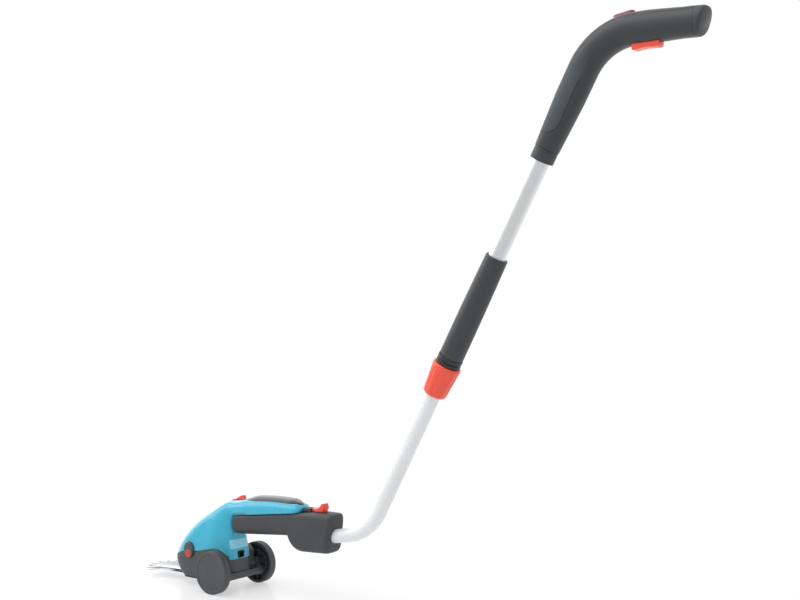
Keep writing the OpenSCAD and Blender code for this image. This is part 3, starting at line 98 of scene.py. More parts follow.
# The upper grip
GRIP_SLOPE_L, GRIP_BEND_R, GRIP_LEVEL_L, GRIP_DROOP = 116, 88, 97, 2.5
GRIP_H, GRIP_W, GRIP_END_H, GRIP_WALL, GRIP_EDGE_R = 44, 40, 40, 2.6, 5
GRIP_LEAN, GRIP_LEAN_L, GRIP_POWER, GRIP_END_SHARE = 16, 24, 2.3, 0.8
PANEL_SIDE, PANEL_LOW, PANEL_ARC, PANEL_GROOVE, GROOVE_DEPTH = 11, 19, 22, 1.1, 0.7
PANEL_FOOT, PANEL_BOW_R = 26, 14
SAFETY_L, SAFETY_W, TRIGGER_L, TRIGGER_HALF_W = 31, 13, 39, 7.9
# Cutters reach this far past the middle plane, and from this low to this high in x and z
CUT_NEAR, CUT_FAR = 60, 100
CUT_LOW, CUT_HIGH = (-300, -50), (1000, 1200)

# Camera that the photograph was fitted to, in its 800 by 600 frame
CAMERA_AT = (1435.5, -1446.8, 484.3)
CAMERA_AZIMUTH = 37.0
CAMERA_LENS, CAMERA_SENSOR = 54.0, 36.0


def unit(t):
    return min(max(t, 0.0), 1.0)


def between(a, b, t):
    return a + (b - a) * t


def ease(t):
    c = unit(t)
    return c * c * (3 - 2 * c)


def round_off(t):
    c = unit(t)
    return math.sqrt(1 - c * c)


def signed_power(v, p):
    return math.copysign(abs(v) ** p, v)


def sin_d(a):
    return math.sin(math.radians(a))


def cos_d(a):
    return math.cos(math.radians(a))


# Body of the head
def crown_w(z, d):
    top = (HEAD_W / 2 - d) * round_off((z - SHOULDER_Z) / (CROWN_Z - d - SHOULDER_Z))
    return top - SHOULDER_TUCK * unit((SHOULDER_Z - z) / (SHOULDER_Z - BASE_Z)) ** 2


def crown_curve(t):
    return (1 - unit(t) ** CROWN_POWER) ** (1 / CROWN_POWER)


def front_x(z, d):
    tuck = NOSE_TUCK * unit((NOSE_Z - z) / (NOSE_Z - BASE_Z)) ** 2
    reach = CROWN_BACK + NOSE_REACH - d
    return CROWN_BACK - reach * crown_curve((z - NOSE_Z) / (CROWN_Z - d - NOSE_Z)) + tuck


def crest(x, d):
    reach = CROWN_BACK + NOSE_REACH - d
    return NOSE_Z + (CROWN_Z - d - NOSE_Z) * crown_curve((CROWN_BACK - x) / reach)


def head_half_w(x, z, d):
    r = crown_w(z, d)
    if r < EDGE_W:
        return EDGE_W
    turn = min(REAR_ROUND - d, TURN_SHARE * r)
    ahead = (front_x(z, d) + r - x) / r
    behind = (x - REAR_BACK + REAR_SWEEP) / (REAR_SWEEP - d)
    return max(r * round_off(ahead) - turn * (1 - round_off(behind)), EDGE_W)


def sole_height(x, d):
    ramp = (REAR_SOLE_Z - BASE_Z) * ease((x - SOLE_RAMP_X) / (SOLE_RAMP_END_X - SOLE_RAMP_X))
    lift = (NOSE_Z - BASE_Z - 1) * (1 - math.sqrt(unit((x + NOSE_REACH - d) / NOSE_TUCK)))
    return max(BASE_Z + ramp + d + lift, FLOOR_TOP_Z if d > 0 else 0.0)


def lean_x(x, z):
    return x - REAR_LEAN * (z - SHOULDER_Z) * ease((x + LEAN_RUN) / (REAR_BACK + LEAN_RUN))


def handle_under(x):
    return HANDLE_LOW_Z + math.tan(math.radians(HANDLE_TILT)) * (x - CROWN_BACK)


def handle_back(x):
    drop = TAIL_DROP * unit((x - TAIL_X + TAIL_ROUND) / TAIL_ROUND) ** 2
    return HANDLE_TOP_Z - HANDLE_BOW * ((x - HANDLE_TOP_X) / HANDLE_TOP_X) ** 2 - drop


def handle_half_w(x, d):
    end = round_off((x - TAIL_X + TAIL_ROUND) / (TAIL_ROUND + 0.5))
    root = ease((x - HANDLE_ROOT_X) / HANDLE_ROOT_L)
    return between(HANDLE_W * HANDLE_ROOT_SHARE, HANDLE_W / 2, root) - d - TAIL_ROUND * (1 - end)


def handle_side(x, z):
    low = handle_under(x)
    t = unit((z - low) / (handle_back(x) - low))
    return handle_half_w(x, 0) * (1 - t ** HANDLE_POWER) ** (1 / HANDLE_POWER)


def housing_y(x, z):
    return head_half_w(x, z, 0) if x < CROWN_BACK else handle_side(x, z)


def pad_back(x):
    rise = PAD_RISE * ease((x - PAD_RISE_X) / PAD_RISE_L)
    return handle_back(x) + rise * (1 - PAD_DIP * ease((x - PAD_DIP_X) / PAD_DIP_L))


def pad_half_w(x):
    front = between(PAD_TIP_W, 1, ease((x - PAD_TIP_X) / PAD_TIP_L))
    return PAD_W / 2 * front * round_off((x - PAD_END_X) / PAD_END_L)


def pad_seat(x):
    return handle_back(x) - PAD_DEPTH * between(PAD_TIP_DEPTH, 1, ease((x - PAD_TIP_X) / PAD_SEAT_L))


def head_ring(x, d, levels):
    low = sole_height(x, d)
    high = crest(x, d)
    if d > 0 and x > PAD_FRONT_X - 4:
        high = min(high, pad_seat(x) - INNER_SHARE * d)
    rise = [between(low, high, sin_d(90 * k / levels)) for k in range(levels + 1)]
    right = [(lean_x(x, z), head_half_w(x, z, d), z) for z in rise]
    return right + [(px, -py, pz) for px, py, pz in reversed(right)]


def arch_ring(x, half_w, low, high, power, sides):
    ring = []
    for k in range(sides + 1):
        a = 180 * k / sides
        ring.append((x, half_w * signed_power(cos_d(a), 2 / power),
                     low + (high - low) * signed_power(max(sin_d(a), 0), 2 / power)))
    return ring


# Adapter
def bar_under(x):
    return BAR_LOW_Z + math.tan(math.radians(BAR_TILT)) * (x - BAR_TILT_X)


def box_under(x):
    lift = bar_under(BOX_FRONT_X) - BOX_LOW_Z
    curve = 1 - round_off((BOX_FRONT_X + BOX_CURVE_L - x) / BOX_CURVE_L)
    return BOX_LOW_Z + BOX_SLOPE * max(x - BOX_FRONT_X - BOX_CURVE_L, 0) + lift * curve


def adapter_half_w(x):
    return between(BAR_W, BOX_W, ease((x - BOX_FRONT_X) / BOX_CURVE_L)) / 2


def round_ring(at, tilt, half_h, half_w, power, sides):
    ring = []
    for k in range(sides):
        a = 360 * k / sides
        up = half_h * signed_power(sin_d(a), 2 / power)
        out = half_w * signed_power(cos_d(a), 2 / power)
        ring.append((at[0] - up * sin_d(tilt), out, at[1] + up * cos_d(tilt)))
    return ring


def adapter_ring(x, d, sides):
    front = round_off((BAR_FRONT_X + BAR_END_H - x) / (BAR_END_H - d))
    front_w = round_off((BAR_FRONT_X + BAR_END_W - x) / (BAR_END_W - d))
    rear = 1 - round_off((x - BOX_REAR_X + BOX_TURN) / (BOX_TURN - d))
    high = min(handle_under(x), BOX_TOP_Z) - SEAM_GAP - BOX_TOP_TURN * rear - d
    low = (bar_under(x) if x < BOX_FRONT_X else box_under(x)) + BOX_TURN * rear + d
    half_w = (adapter_half_w(x) - d - BOX_SIDE_TURN * rear) * front_w
    power = between(BAR_POWER, BOX_POWER, ease((x - POWER_X) / POWER_RUN))
    top_power = between(BAR_TOP_POWER, BOX_POWER, ease((x - TOP_POWER_X) / POWER_RUN))
    start = BOX_FRONT_X + BOX_CURVE_L
    lean = BOX_LEAN * ease((x - start) / (BOX_REAR_X - start))
    middle = (high + low) / 2
    half_h = (high - low) / 2 * front
    lower = round_ring((x, middle), 0, half_h, half_w, power, sides)
    upper = round_ring((x, middle), 0, half_h, half_w, top_power, sides)
    ring = [u if u[2] > middle else v for u, v in zip(upper, lower)]
    return [(px - lean * (BOX_TOP_Z - pz), py, pz) for px, py, pz in ring]


# Tubes and upper handle: places along the tube are named S, from the start of the clamp
TUBE_DIR = np.array([cos_d(TUBE_ANGLE), sin_d(TUBE_ANGLE)])
ACROSS_DIR = np.array([sin_d(TUBE_ANGLE), -cos_d(TUBE_ANGLE)])
ENTRY_DIR = np.array([cos_d(ENTRY_ANGLE), sin_d(ENTRY_ANGLE)])
BEND_ANGLE = TUBE_ANGLE - ENTRY_ANGLE
BEND_TANGENT = BEND_R * math.tan(math.radians(BEND_ANGLE / 2))
RING_S = NUT_L + SLIDE_GAP
SLEEVE_S = RING_S + RING_L
COLLAR_S = SLEEVE_S + SLEEVE_L + BARE_L
GRIP_S = COLLAR_S + COLLAR_L + SEAM_GAP
GRIP_BEND_L = GRIP_BEND_R * math.radians(TUBE_ANGLE)
GRIP_L = GRIP_SLOPE_L + GRIP_BEND_L + GRIP_LEVEL_L
GRIP_FOOT = CORNER + TUBE_DIR * (CLAMP_START + GRIP_S)
GRIP_KNEE = GRIP_FOOT + TUBE_DIR * GRIP_SLOPE_L
GRIP_HUB = GRIP_KNEE + GRIP_BEND_R * ACROSS_DIR
GRIP_LEVEL_X, GRIP_LEVEL_Z = GRIP_HUB[0], GRIP_HUB[1] + GRIP_BEND_R
GRIP_END_X = GRIP_LEVEL_X + GRIP_LEVEL_L
GRIP_STATIONS = [0, 75, 230, GRIP_L - 30]
GRIP_HALF_H = [COLLAR_D / 2, GRIP_H / 2 - 1.2, GRIP_H / 2, GRIP_END_H / 2]
GRIP_HALF_W = [COLLAR_D / 2, GRIP_W / 2, GRIP_W / 2 - 0.5, GRIP_W / 2 - 1.5]
CAP_X = GRIP_END_X - 10
PAD_CUT_Z = GRIP_LEVEL_Z + GRIP_H / 2 - 8
PANEL_CUT = GRIP_H / 2 - 7
PANEL_END_S = GRIP_SLOPE_L + 16
TRIGGER_X = GRIP_END_X - 99
TRIGGER_TOP_Z = GRIP_LEVEL_Z - GRIP_H / 2 + 4.5
SAFETY_X = GRIP_END_X - 113
GRIP_BACK_R = GRIP_BEND_R + GRIP_H / 2
SAFETY_TILT = math.degrees(math.asin((GRIP_LEVEL_X - SAFETY_X) / GRIP_BACK_R))
SAFETY_AT = GRIP_HUB + (GRIP_BACK_R - 0.6) * np.array([-sin_d(SAFETY_TILT), cos_d(SAFETY_TILT)])


def grip_tilt(t):
    lean = GRIP_LEAN * unit((t - GRIP_L + GRIP_LEAN_L) / GRIP_LEAN_L)
    return TUBE_ANGLE * (1 - unit((t - GRIP_SLOPE_L) / GRIP_BEND_L)) - lean


def grip_at(t):
    if t < GRIP_SLOPE_L:
        return GRIP_FOOT + TUBE_DIR * t
    if t < GRIP_SLOPE_L + GRIP_BEND_L:
        a = grip_tilt(t)
        return GRIP_HUB - GRIP_BEND_R * np.array([sin_d(a), -cos_d(a)])
    run = t - GRIP_SLOPE_L - GRIP_BEND_L
    return np.array([GRIP_LEVEL_X + run, GRIP_LEVEL_Z - GRIP_DROOP * (run / GRIP_LEVEL_L) ** 2])


def grip_ring(t, d, sides):
    end = round_off((t - GRIP_L + GRIP_EDGE_R) / (GRIP_EDGE_R + 0.4 - d))
    swell = between(GRIP_END_SHARE, 1, end)
    half_h = (np.interp(t, GRIP_STATIONS, GRIP_HALF_H) - d) * swell
    half_w = (np.interp(t, GRIP_STATIONS, GRIP_HALF_W) - d) * swell
    return round_ring(grip_at(t), grip_tilt(t), half_h, half_w, GRIP_POWER, sides)


# Mesh building
def add_object(name, data):
    obj = bpy.data.objects.new(name, data)
    bpy.context.scene.collection.objects.link(obj)
    return obj


def mesh_object(name, points, faces):
    mesh = bpy.data.meshes.new(name)
    mesh.from_pydata([tuple(MM * c for c in p) for p in points], [], faces)
    mesh.validate()
    obj = add_object(name, mesh)
    outward(obj)
    return obj


def outward(obj):
    bm = bmesh.new()
    bm.from_mesh(obj.data)
    bmesh.ops.recalc_face_normals(bm, faces=bm.faces[:])
    bm.to_mesh(obj.data)
    bm.free()


def ring_faces(a, b, sides):
    """The faces between two rings, from the numbers of their first points."""
    return [(a + j, a + (j + 1) % sides, b + (j + 1) % sides, b + j) for j in range(sides)]


def loft(name, rings):
    """A skin over rings, closed at both ends."""
    sides = len(rings[0])
    last = (len(rings) - 1) * sides
    faces = []
    for start in range(0, last, sides):
        faces += ring_faces(start, start + sides, sides)
    faces.append(tuple(reversed(range(sides))))
    faces.append(tuple(range(last, last + sides)))
    return mesh_object(name, [p for ring in rings for p in ring], faces)


def ring_loop(name, rings):
    """A skin over rings, from the last one back to the first."""
    sides = len(rings[0])
    faces = []
    for i in range(len(rings)):
        faces += ring_faces(i * sides, (i + 1) % len(rings) * sides, sides)
    return mesh_object(name, [p for ring in rings for p in ring], faces)


CORNER_SHARE = 0.45


def rounded(points, radius, steps=4):
    """A closed outline with its corners turned to arcs."""
    out = []
    count = len(points)
    for i in range(count):
        p = np.array(points[i], float)
        a = np.array(points[i - 1], float) - p
        b = np.array(points[(i + 1) % count], float) - p
        la, lb = np.linalg.norm(a), np.linalg.norm(b)
        r = min(radius, CORNER_SHARE * la, CORNER_SHARE * lb)
        start, end = p + a / la * r, p + b / lb * r
        for k in range(steps + 1):
            t = k / steps
            out.append(tuple((1 - t) ** 2 * start + 2 * t * (1 - t) * p + t * t * end))
    return out


def lathe(name, profile, place, segments=96):
    """A closed profile of (radius, height) turned about the axis that place sets."""
    points, rows, faces = [], [], []
    for r, h in profile:
        row = []
        for k in range(segments if r > 1e-4 else 1):
            a = 2 * math.pi * k / segments
            row.append(len(points))
            points.append(place @ Vector((r * math.cos(a), r * math.sin(a), h)))
        rows.append(row)
    for i, row in enumerate(rows):
        nxt = rows[(i + 1) % len(rows)]
        if len(row) == 1 and len(nxt) == 1:
            continue
        for k in range(segments):
            q = (k + 1) % segments
            corner = [row[k % len(row)], row[q % len(row)], nxt[q % len(nxt)], nxt[k % len(nxt)]]
            faces.append(tuple(dict.fromkeys(corner)))
    return mesh_object(name, points, faces)


def slab(name, outline, y0, y1):
    """An outline in (x, z) carried along Y."""
    count = len(outline)
    points = [(x, y0, z) for x, z in outline] + [(x, y1, z) for x, z in outline]
    faces = [tuple(range(count)), tuple(range(2 * count - 1, count - 1, -1))]
    for i in range(count):
        k = (i + 1) % count
        faces.append((i, k, count + k, count + i))
    return mesh_object(name, points, faces)


def block(name, low, high):
    outline = [(low[0], low[2]), (high[0], low[2]), (high[0], high[2]), (low[0], high[2])]
    return slab(name, outline, low[1], high[1])


def oval(x, z, length, height, count=64):
    turns = [2 * math.pi * k / count for k in range(count)]
    return [(x + length / 2 * math.cos(a), z + height / 2 * math.sin(a)) for a in turns]


def rod(name, at, r, y0, y1, segments=40):
    return slab(name, oval(at[0], at[1], 2 * r, 2 * r, segments), y0, y1)


def sweep(name, path, r_out, r_in, sides=64):
    """A tube wall of two radii along a path of (x, z) points with tilts."""
    rings = [round_ring((x, z), tilt, r, r, 2, sides) for r in (r_out, r_in) for x, z, tilt in path]
    rows = len(path)
    faces = []
    for first in (0, rows):
        for i in range(first, first + rows - 1):
            faces += ring_faces(i * sides, (i + 1) * sides, sides)
    for i in (0, rows - 1):
        faces += ring_faces(i * sides, (rows + i) * sides, sides)
    return mesh_object(name, [p for ring in rings for p in ring], faces)


def bake(obj):
    bpy.context.view_layer.update()
    graph = bpy.context.evaluated_depsgraph_get()
    mesh = bpy.data.meshes.new_from_object(obj.evaluated_get(graph))
    old = obj.data
    obj.modifiers.clear()
    obj.data = mesh
    bpy.data.meshes.remove(old)


def drop(obj):
    mesh = obj.data
    bpy.data.objects.remove(obj)
    bpy.data.meshes.remove(mesh)


def carve(obj, *cutters, op="DIFFERENCE"):
    for cutter in cutters:
        mod = obj.modifiers.new("carve", "BOOLEAN")
        mod.operation = op
        mod.solver = "MANIFOLD"
        mod.object = cutter
        bake(obj)
        drop(cutter)
    return obj


def copy_of(obj, name):
    return add_object(name, obj.data.copy())


def shade(obj, sharp=35):
    for poly in obj.data.polygons:
        poly.use_smooth = True
    obj.data.set_sharp_from_angle(angle=math.radians(sharp))


def place_piece(obj, mat, body, nodes=(), sharp=35):
    shade(obj, sharp)
    obj.data.materials.clear()
    obj.data.materials.append(mat)
    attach(obj, body)
    if nodes:
        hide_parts(*nodes)
    return obj


def soften(obj, width, segments, angle):
    """Rounds the sharp edges of a piece by width millimetres."""
    mod = obj.modifiers.new("edges", "BEVEL")
    mod.width = width * MM
    mod.segments = segments
    mod.limit_method = "ANGLE"
    mod.angle_limit = math.radians(angle)
    bake(obj)


BODY_OF = {n: b for b, ns in frame["record"]["behaviour"]["bodies"].items() for n in ns}
MERGE_DISTANCE, FLAT_ANGLE = 0.002, 0.6
SIDES = ((1, "left"), (-1, "right"))


def stand_in(obj, mat, node, sharp=35):
    """Sets a piece with its material in the place of a CAD node, on that node's body, and hides the node.
    """
    place_piece(obj, mat, BODY_OF[node], [node], sharp)


def joined_copy(node, flatten):
    """A copy of a CAD node with its tessellation joined up."""
    obj = copy_of(frame["nodes"][node], node + "_piece")
    bm = bmesh.new()
    bm.from_mesh(obj.data)
    bmesh.ops.remove_doubles(bm, verts=bm.verts[:], dist=MERGE_DISTANCE * MM)
    if flatten:
        limit = math.radians(FLAT_ANGLE)
        bmesh.ops.dissolve_limit(bm, angle_limit=limit, verts=bm.verts[:], edges=bm.edges[:])
    bm.to_mesh(obj.data)
    bm.free()
    return obj


def dress(node, mat, width, segments, angle):
    """A finer copy of a CAD node with rounded edges."""
    obj = joined_copy(node, flatten=True)
    soften(obj, width, segments, angle)
    stand_in(obj, mat, node)


def place_halves(solid, name, mat, screws, gap, sink):
    """Parts a solid on the middle plane and sets both halves, the left one with holes for its screws."""
    for side, side_name in SIDES:
        node = name + "_" + side_name
        half = copy_of(solid, node + "_shell")
        y0, y1 = sorted((side * gap, side * CUT_FAR))
        room_low, room_high = (CUT_LOW[0], y0, CUT_LOW[1]), (CUT_HIGH[0], y1, CUT_HIGH[1])
        carve(half, block("half", room_low, room_high), op="INTERSECT")
        if side > 0:
            for x, y, z in screws:
                carve(half, rod("screw_hole", (x, z), SCREW_HEAD_R + SCREW_GAP, y - sink, CUT_NEAR))
        stand_in(half, mat, node)
    drop(solid)


# Materials
def srgb(r, g, b):
    def lin(c):
        c = c / 255
        return c / 12.92 if c <= 0.04045 else ((c + 0.055) / 1.055) ** 2.4
    return (lin(r), lin(g), lin(b), 1.0)


def shade_of(col, k):
    return (min(col[0] * k, 1), min(col[1] * k, 1), min(col[2] * k, 1), 1)


def add_node(tree, kind, inputs=None, output=0, operation=None):
    """An output of a new shader node that has its inputs set or linked. A mix node mixes colours."""
    node = tree.nodes.new("ShaderNode" + kind)
    if operation:
        node.operation = operation
    if kind == "Mix":
        node.data_type = "RGBA"
    for key, value in (inputs or {}).items():
        if isinstance(value, bpy.types.NodeSocket):
            tree.links.new(value, node.inputs[key])
        else:
            node.inputs[key].default_value = value
    return node.outputs[output]


# Places of the colour sockets on a mix node
MIX_A, MIX_B, MIX_RESULT = 6, 7, 2
# Scales of noise, the depth of the slow waves in moulded faces, the wear of edges and the fade of the
# painted shade at a blade's root in millimetres
CLOUD_SCALE, WAVE_SCALE, WAVE_DEPTH = 22, 9, 0.15
WORN_AMOUNT, WORN_START, WORN_END = 0.35, 0.52, 0.6
ROOT_SHADE_FADE = 12.0


class Look:
    """A node material with a principled shader and helpers that add noise to its sockets."""

    def __init__(self, name, **sockets):
        self.mat = bpy.data.materials.new(name)
        self.mat.use_nodes = True
        self.tree = self.mat.node_tree
        self.bsdf = self.tree.nodes["Principled BSDF"]
        for key, value in sockets.items():
            self.bsdf.inputs[key.replace("_", " ")].default_value = value
        self.coord = self.add("TexCoord", output="Object")

    def add(self, kind, inputs=None, output=0, operation=None):
        return add_node(self.tree, kind, inputs, output, operation)

    def feed(self, key, socket):
        self.tree.links.new(socket, self.bsdf.inputs[key])

    def stretched(self, scale, turn):
        return self.add("Mapping", {"Vector": self.coord, "Scale": scale, "Rotation": turn})

    def noise(self, scale, detail=3.0, rough=0.55, vector=None):
        inputs = {"Vector": vector or self.coord, "Scale": scale, "Detail": detail, "Roughness": rough}
        return self.add("TexNoise", inputs)

    def voronoi(self, scale):
        return self.add("TexVoronoi", {"Vector": self.coord, "Scale": scale})

    def tones(self, fac, col, dark, light, start=0.3, end=0.7):
        """A run from a darker to a lighter tone of one colour."""
        color = self.add("ValToRGB", {"Fac": fac})
        for stop, position, share in zip(color.node.color_ramp.elements, (start, end), (dark, light)):
            stop.position = position
            stop.color = shade_of(col, share)
        return color

    def spread(self, fac, low, high, start=0.3, end=0.7):
        inputs = {"Value": fac, "From Min": start, "From Max": end, "To Min": low, "To Max": high}
        return self.add("MapRange", inputs)

    def mix(self, fac, a, b):
        return self.add("Mix", {"Factor": fac, MIX_A: a, MIX_B: b}, MIX_RESULT)

    def painted_sheen(self, color, glancing_highlight, start=0.7, end=1.0):
        """Painted sheen: a colour that turns to a lighter highlight colour where the surface is seen at a
        glance, standing in for reflected light.
        """
        if glancing_highlight is None:
            return color
        facing = self.add("LayerWeight", {"Blend": 0.5}, "Facing")
        return self.mix(self.spread(facing, 0, 1, start, end), color, glancing_highlight)

    def vector_math(self, operation, a, b=None):
        inputs = {0: a} if b is None else {0: a, 1: b}
        output = "Value" if operation in ("DOT_PRODUCT", "LENGTH") else "Vector"
        return self.add("VectorMath", inputs, output, operation)

    def in_panel(self):
        """One inside the front panel's outline on the grip's slope, none outside it."""
        at = self.vector_math("SUBTRACT", self.coord, (GRIP_FOOT[0] * MM, 0, GRIP_FOOT[1] * MM))
        across = self.vector_math("DOT_PRODUCT", at, (ACROSS_DIR[0], 0, ACROSS_DIR[1]))
        up = self.vector_math("DOT_PRODUCT", at, (TUBE_DIR[0], 0, TUBE_DIR[1]))
        side = self.spread(across, 0, PANEL_ARC * MM, (PANEL_SIDE - PANEL_ARC) * MM, PANEL_SIDE * MM)
        low = self.spread(up, PANEL_ARC * MM, 0, PANEL_LOW * MM, (PANEL_LOW + PANEL_ARC) * MM)
        away = self.vector_math("LENGTH", self.add("CombineXYZ", {"X": side, "Z": low}))
        inside = self.spread(away, 1, 0, (PANEL_ARC - 0.6) * MM, PANEL_ARC * MM)
        fade = self.spread(up, 1, 0, (GRIP_SLOPE_L - 10) * MM, (GRIP_SLOPE_L + 30) * MM)
        return self.add("Math", {0: inside, 1: fade}, operation="MULTIPLY")

    def bump(self, heights, strength):
        """Adds bump layers of (height socket, depth in millimetres)."""
        inputs = {"Strength": strength}
        for height, depth in heights:
            inputs.update({"Height": height, "Distance": depth * MM})
            inputs["Normal"] = self.add("Bump", inputs)
        self.feed("Normal", inputs["Normal"])

    def worn_edges(self, color, edge):
        point = self.add("NewGeometry", output="Pointiness")
        return self.mix(self.spread(point, 0, WORN_AMOUNT, WORN_START, WORN_END), color, edge)


def moulded(name, col, rough, grain=1500, depth=0.05, coat=0.0, vary=0.07, edge=1.35, glancing_highlight=None,
            highlight_from=0.7):
    """Plastic with a fine grain, slight clouds in its tone, lighter edges and, where a highlight colour is
    given, painted sheen at glancing angles.
    """
    look = Look(name, IOR=1.5, Coat_Weight=coat, Coat_Roughness=0.15)
    tint = look.tones(look.noise(CLOUD_SCALE, 4), col, 1 - vary, 1 + vary)
    tint = look.worn_edges(tint, shade_of(col, edge))
    # Painted sheen: a lighter highlight colour mixed in where the surface is seen at a glance
    look.feed("Base Color", look.painted_sheen(tint, glancing_highlight, highlight_from))
    look.feed("Roughness", look.spread(look.noise(60, 5), rough - 0.05, rough + 0.06))
    look.bump([(look.noise(grain, 2, 0.6), depth), (look.noise(WAVE_SCALE, 2), WAVE_DEPTH)], 0.35)
    return look.mat


def two_tone(name, col, panel_col):
    """The upper grip's plastic: smooth, with a grained panel along the front of the slope and painted sheen
    at glancing angles.
    """
    look = Look(name, IOR=1.5)
    plain = look.tones(look.noise(CLOUD_SCALE, 4), col, 0.94, 1.06)
    grained = look.tones(look.noise(900, 2), panel_col, 0.85, 1.15, 0.35, 0.65)
    panel = look.in_panel()
    # Painted sheen: the grip's light grey highlight colour where the surface is seen at a glance
    look.feed("Base Color", look.painted_sheen(look.mix(panel, plain, grained), GRIP_PAINTED_HIGHLIGHT))
    look.feed("Roughness", look.spread(panel, 0.4, 0.55, 0, 1))
    look.bump([(look.noise(1500, 2, 0.6), 0.05), (look.noise(WAVE_SCALE, 2), WAVE_DEPTH)], 0.35)
    return look.mat


def rubber(name, col, rough, glancing_highlight, highlight_span=(0.7, 1.0)):
    look = Look(name, IOR=1.45, Sheen_Weight=0.15, Sheen_Roughness=0.5)
    tint = look.tones(look.noise(30, 5), col, 0.9, 1.12)
    # Painted sheen: lighter where the surface is seen at a glance, standing in for reflected light
    look.feed("Base Color", look.painted_sheen(tint, glancing_highlight, *highlight_span))
    look.feed("Roughness", look.spread(look.noise(90, 4), rough - 0.08, rough + 0.08))
    look.bump([(look.voronoi(1400), 0.06), (look.noise(2600, 2), 0.03)], 0.5)
    return look.mat


def ground_metal(name, col, rough, scale, turn=(0, 0, 0), depth=0.01, glancing_highlight=None, root_shade_from=None):
    """Metal with fine grinding lines. Painted shade turns it black from a given x back towards the housing,
    for the shadow at a blade's root; a painted reflection lightens it at glancing angles where a highlight
    colour is given.
    """
    look = Look(name, Metallic=1.0, Anisotropic=0.4)
    lines = look.noise(1.0, 3, 0.6, look.stretched(scale, turn))
    tint = look.tones(lines, col, 0.86, 1.08, 0.35, 0.65)
    tint = look.mix(look.spread(look.noise(45, 5), 0, 0.25, 0.55, 0.75), tint, shade_of(col, 0.8))
    # Painted shade: black towards the housing, for the shadow at the blade's root
    if root_shade_from is not None:
        back = look.vector_math("DOT_PRODUCT", look.coord, (1, 0, 0))
        share = look.spread(back, 0, 1, root_shade_from * MM, (root_shade_from + ROOT_SHADE_FADE) * MM)
        tint = look.mix(share, tint, BLACK)
    # Painted reflection: the highlight colour where the metal is seen at a glance
    look.feed("Base Color", look.painted_sheen(tint, glancing_highlight, 0.08, 0.75))
    look.feed("Roughness", look.spread(lines, rough - 0.06, rough + 0.1))
    look.bump([(lines, depth)], 0.3)
    return look.mat


TURQUOISE = srgb(41, 173, 203)
DARK = srgb(68, 70, 73)
GRIP_DARK = srgb(46, 50, 53)
SOFT = srgb(50, 53, 56)
# The light grey of the painted sheen on the grips' plastics and soft parts
GRIP_PAINTED_HIGHLIGHT = srgb(150, 154, 158)
ORANGE = srgb(236, 72, 46)
WINE = srgb(140, 36, 44)
BLACK = srgb(26, 27, 29)
STEEL = srgb(204, 206, 209)
WHITE = srgb(226, 228, 230)
SILVER = srgb(206, 207, 208)
PAPER = srgb(138, 215, 236)
TUBE_TURN = (0, math.radians(90 - TUBE_ANGLE), 0)

# The turquoise turns to a painted near-white highlight where it is seen at a glance
mat_body = moulded("turquoise_plastic", TURQUOISE, 0.3, 1800, 0.012, coat=0.4, vary=0.04, edge=1.0,
                   glancing_highlight=srgb(214, 240, 248), highlight_from=0.52)
mat_dark = moulded("dark_grey_plastic", DARK, 0.5)
# The adapter's grey is darker than the base's: partly its own grey, partly painted shade for the shadow
# under the handle on the bar
mat_adapter = moulded("adapter_grey_with_painted_shade", srgb(54, 56, 59), 0.5)
mat_wheel = moulded("wheel_plastic", srgb(66, 68, 71), 0.48, 1300, vary=0.08)
# The grips' plastics and soft parts carry a painted light grey sheen at glancing angles
mat_grip = moulded("grip_plastic", GRIP_DARK, 0.44, glancing_highlight=GRIP_PAINTED_HIGHLIGHT)
mat_upper_grip = two_tone("upper_grip_plastic", shade_of(GRIP_DARK, 0.8), srgb(58, 62, 65))
mat_soft = rubber("soft_rubber", SOFT, 0.5, GRIP_PAINTED_HIGHLIGHT)
# The pad's painted sheen: light grey over much of its top where it is seen at a glance, standing in for
# reflected light
mat_pad = rubber("pad_rubber", SOFT, 0.6, srgb(152, 155, 157), (0.12, 0.8))
mat_orange = moulded("orange_plastic", ORANGE, 0.32, 1600, 0.015, coat=0.3, vary=0.05, edge=1.15)
# The disc's orange is darker and duller than the other orange pieces
mat_disc = moulded("dark_orange_plastic", srgb(178, 66, 50), 0.42, 1600, 0.02, vary=0.06, edge=1.1)
mat_wine = moulded("wine_red_plastic", WINE, 0.34, 1600, 0.015, coat=0.3, vary=0.06, edge=1.2)
mat_black = moulded("black_plastic", BLACK, 0.42, 1500, 0.03, vary=0.12)
mat_socket = moulded("socket_plastic", srgb(16, 17, 18), 0.34, 1500, 0.03, vary=0.2)
mat_socket.node_tree.nodes["Principled BSDF"].inputs["Specular IOR Level"].default_value = 0.15
mat_steel = ground_metal("plain_steel", STEEL, 0.3, (300, 300, 2600))
mat_blade = ground_metal("ground_steel", STEEL, 0.24, (220, 3200, 3200))
# The lower blade has painted shade: black at its root by the housing
mat_comb = ground_metal("steel_with_painted_root_shade", STEEL, 0.24, (220, 3200, 3200), root_shade_from=-NOSE_REACH - 16)
mat_white = moulded("white_paint", WHITE, 0.3, 700, 0.02, coat=0.4, vary=0.02, edge=1.0)
# The upper tube has a painted white reflection that spreads out towards its edges
mat_silver = ground_metal("satin_aluminium", SILVER, 0.42, (3000, 3000, 60), TUBE_TURN, 0.004, (1, 1, 1, 1))
mat_brass = ground_metal("cut_brass", srgb(190, 152, 84), 0.3, (900, 900, 900))
mat_board = moulded("board_green", srgb(34, 92, 52), 0.4, 900, 0.02, vary=0.08)
mat_cell = moulded("cell_wrap", srgb(46, 110, 72), 0.35, 900, 0.01, coat=0.2, vary=0.08)
mat_plate = moulded("plate_film", PAPER, 0.38, 900, 0.008, coat=0.2, vary=0.03, edge=1.0)


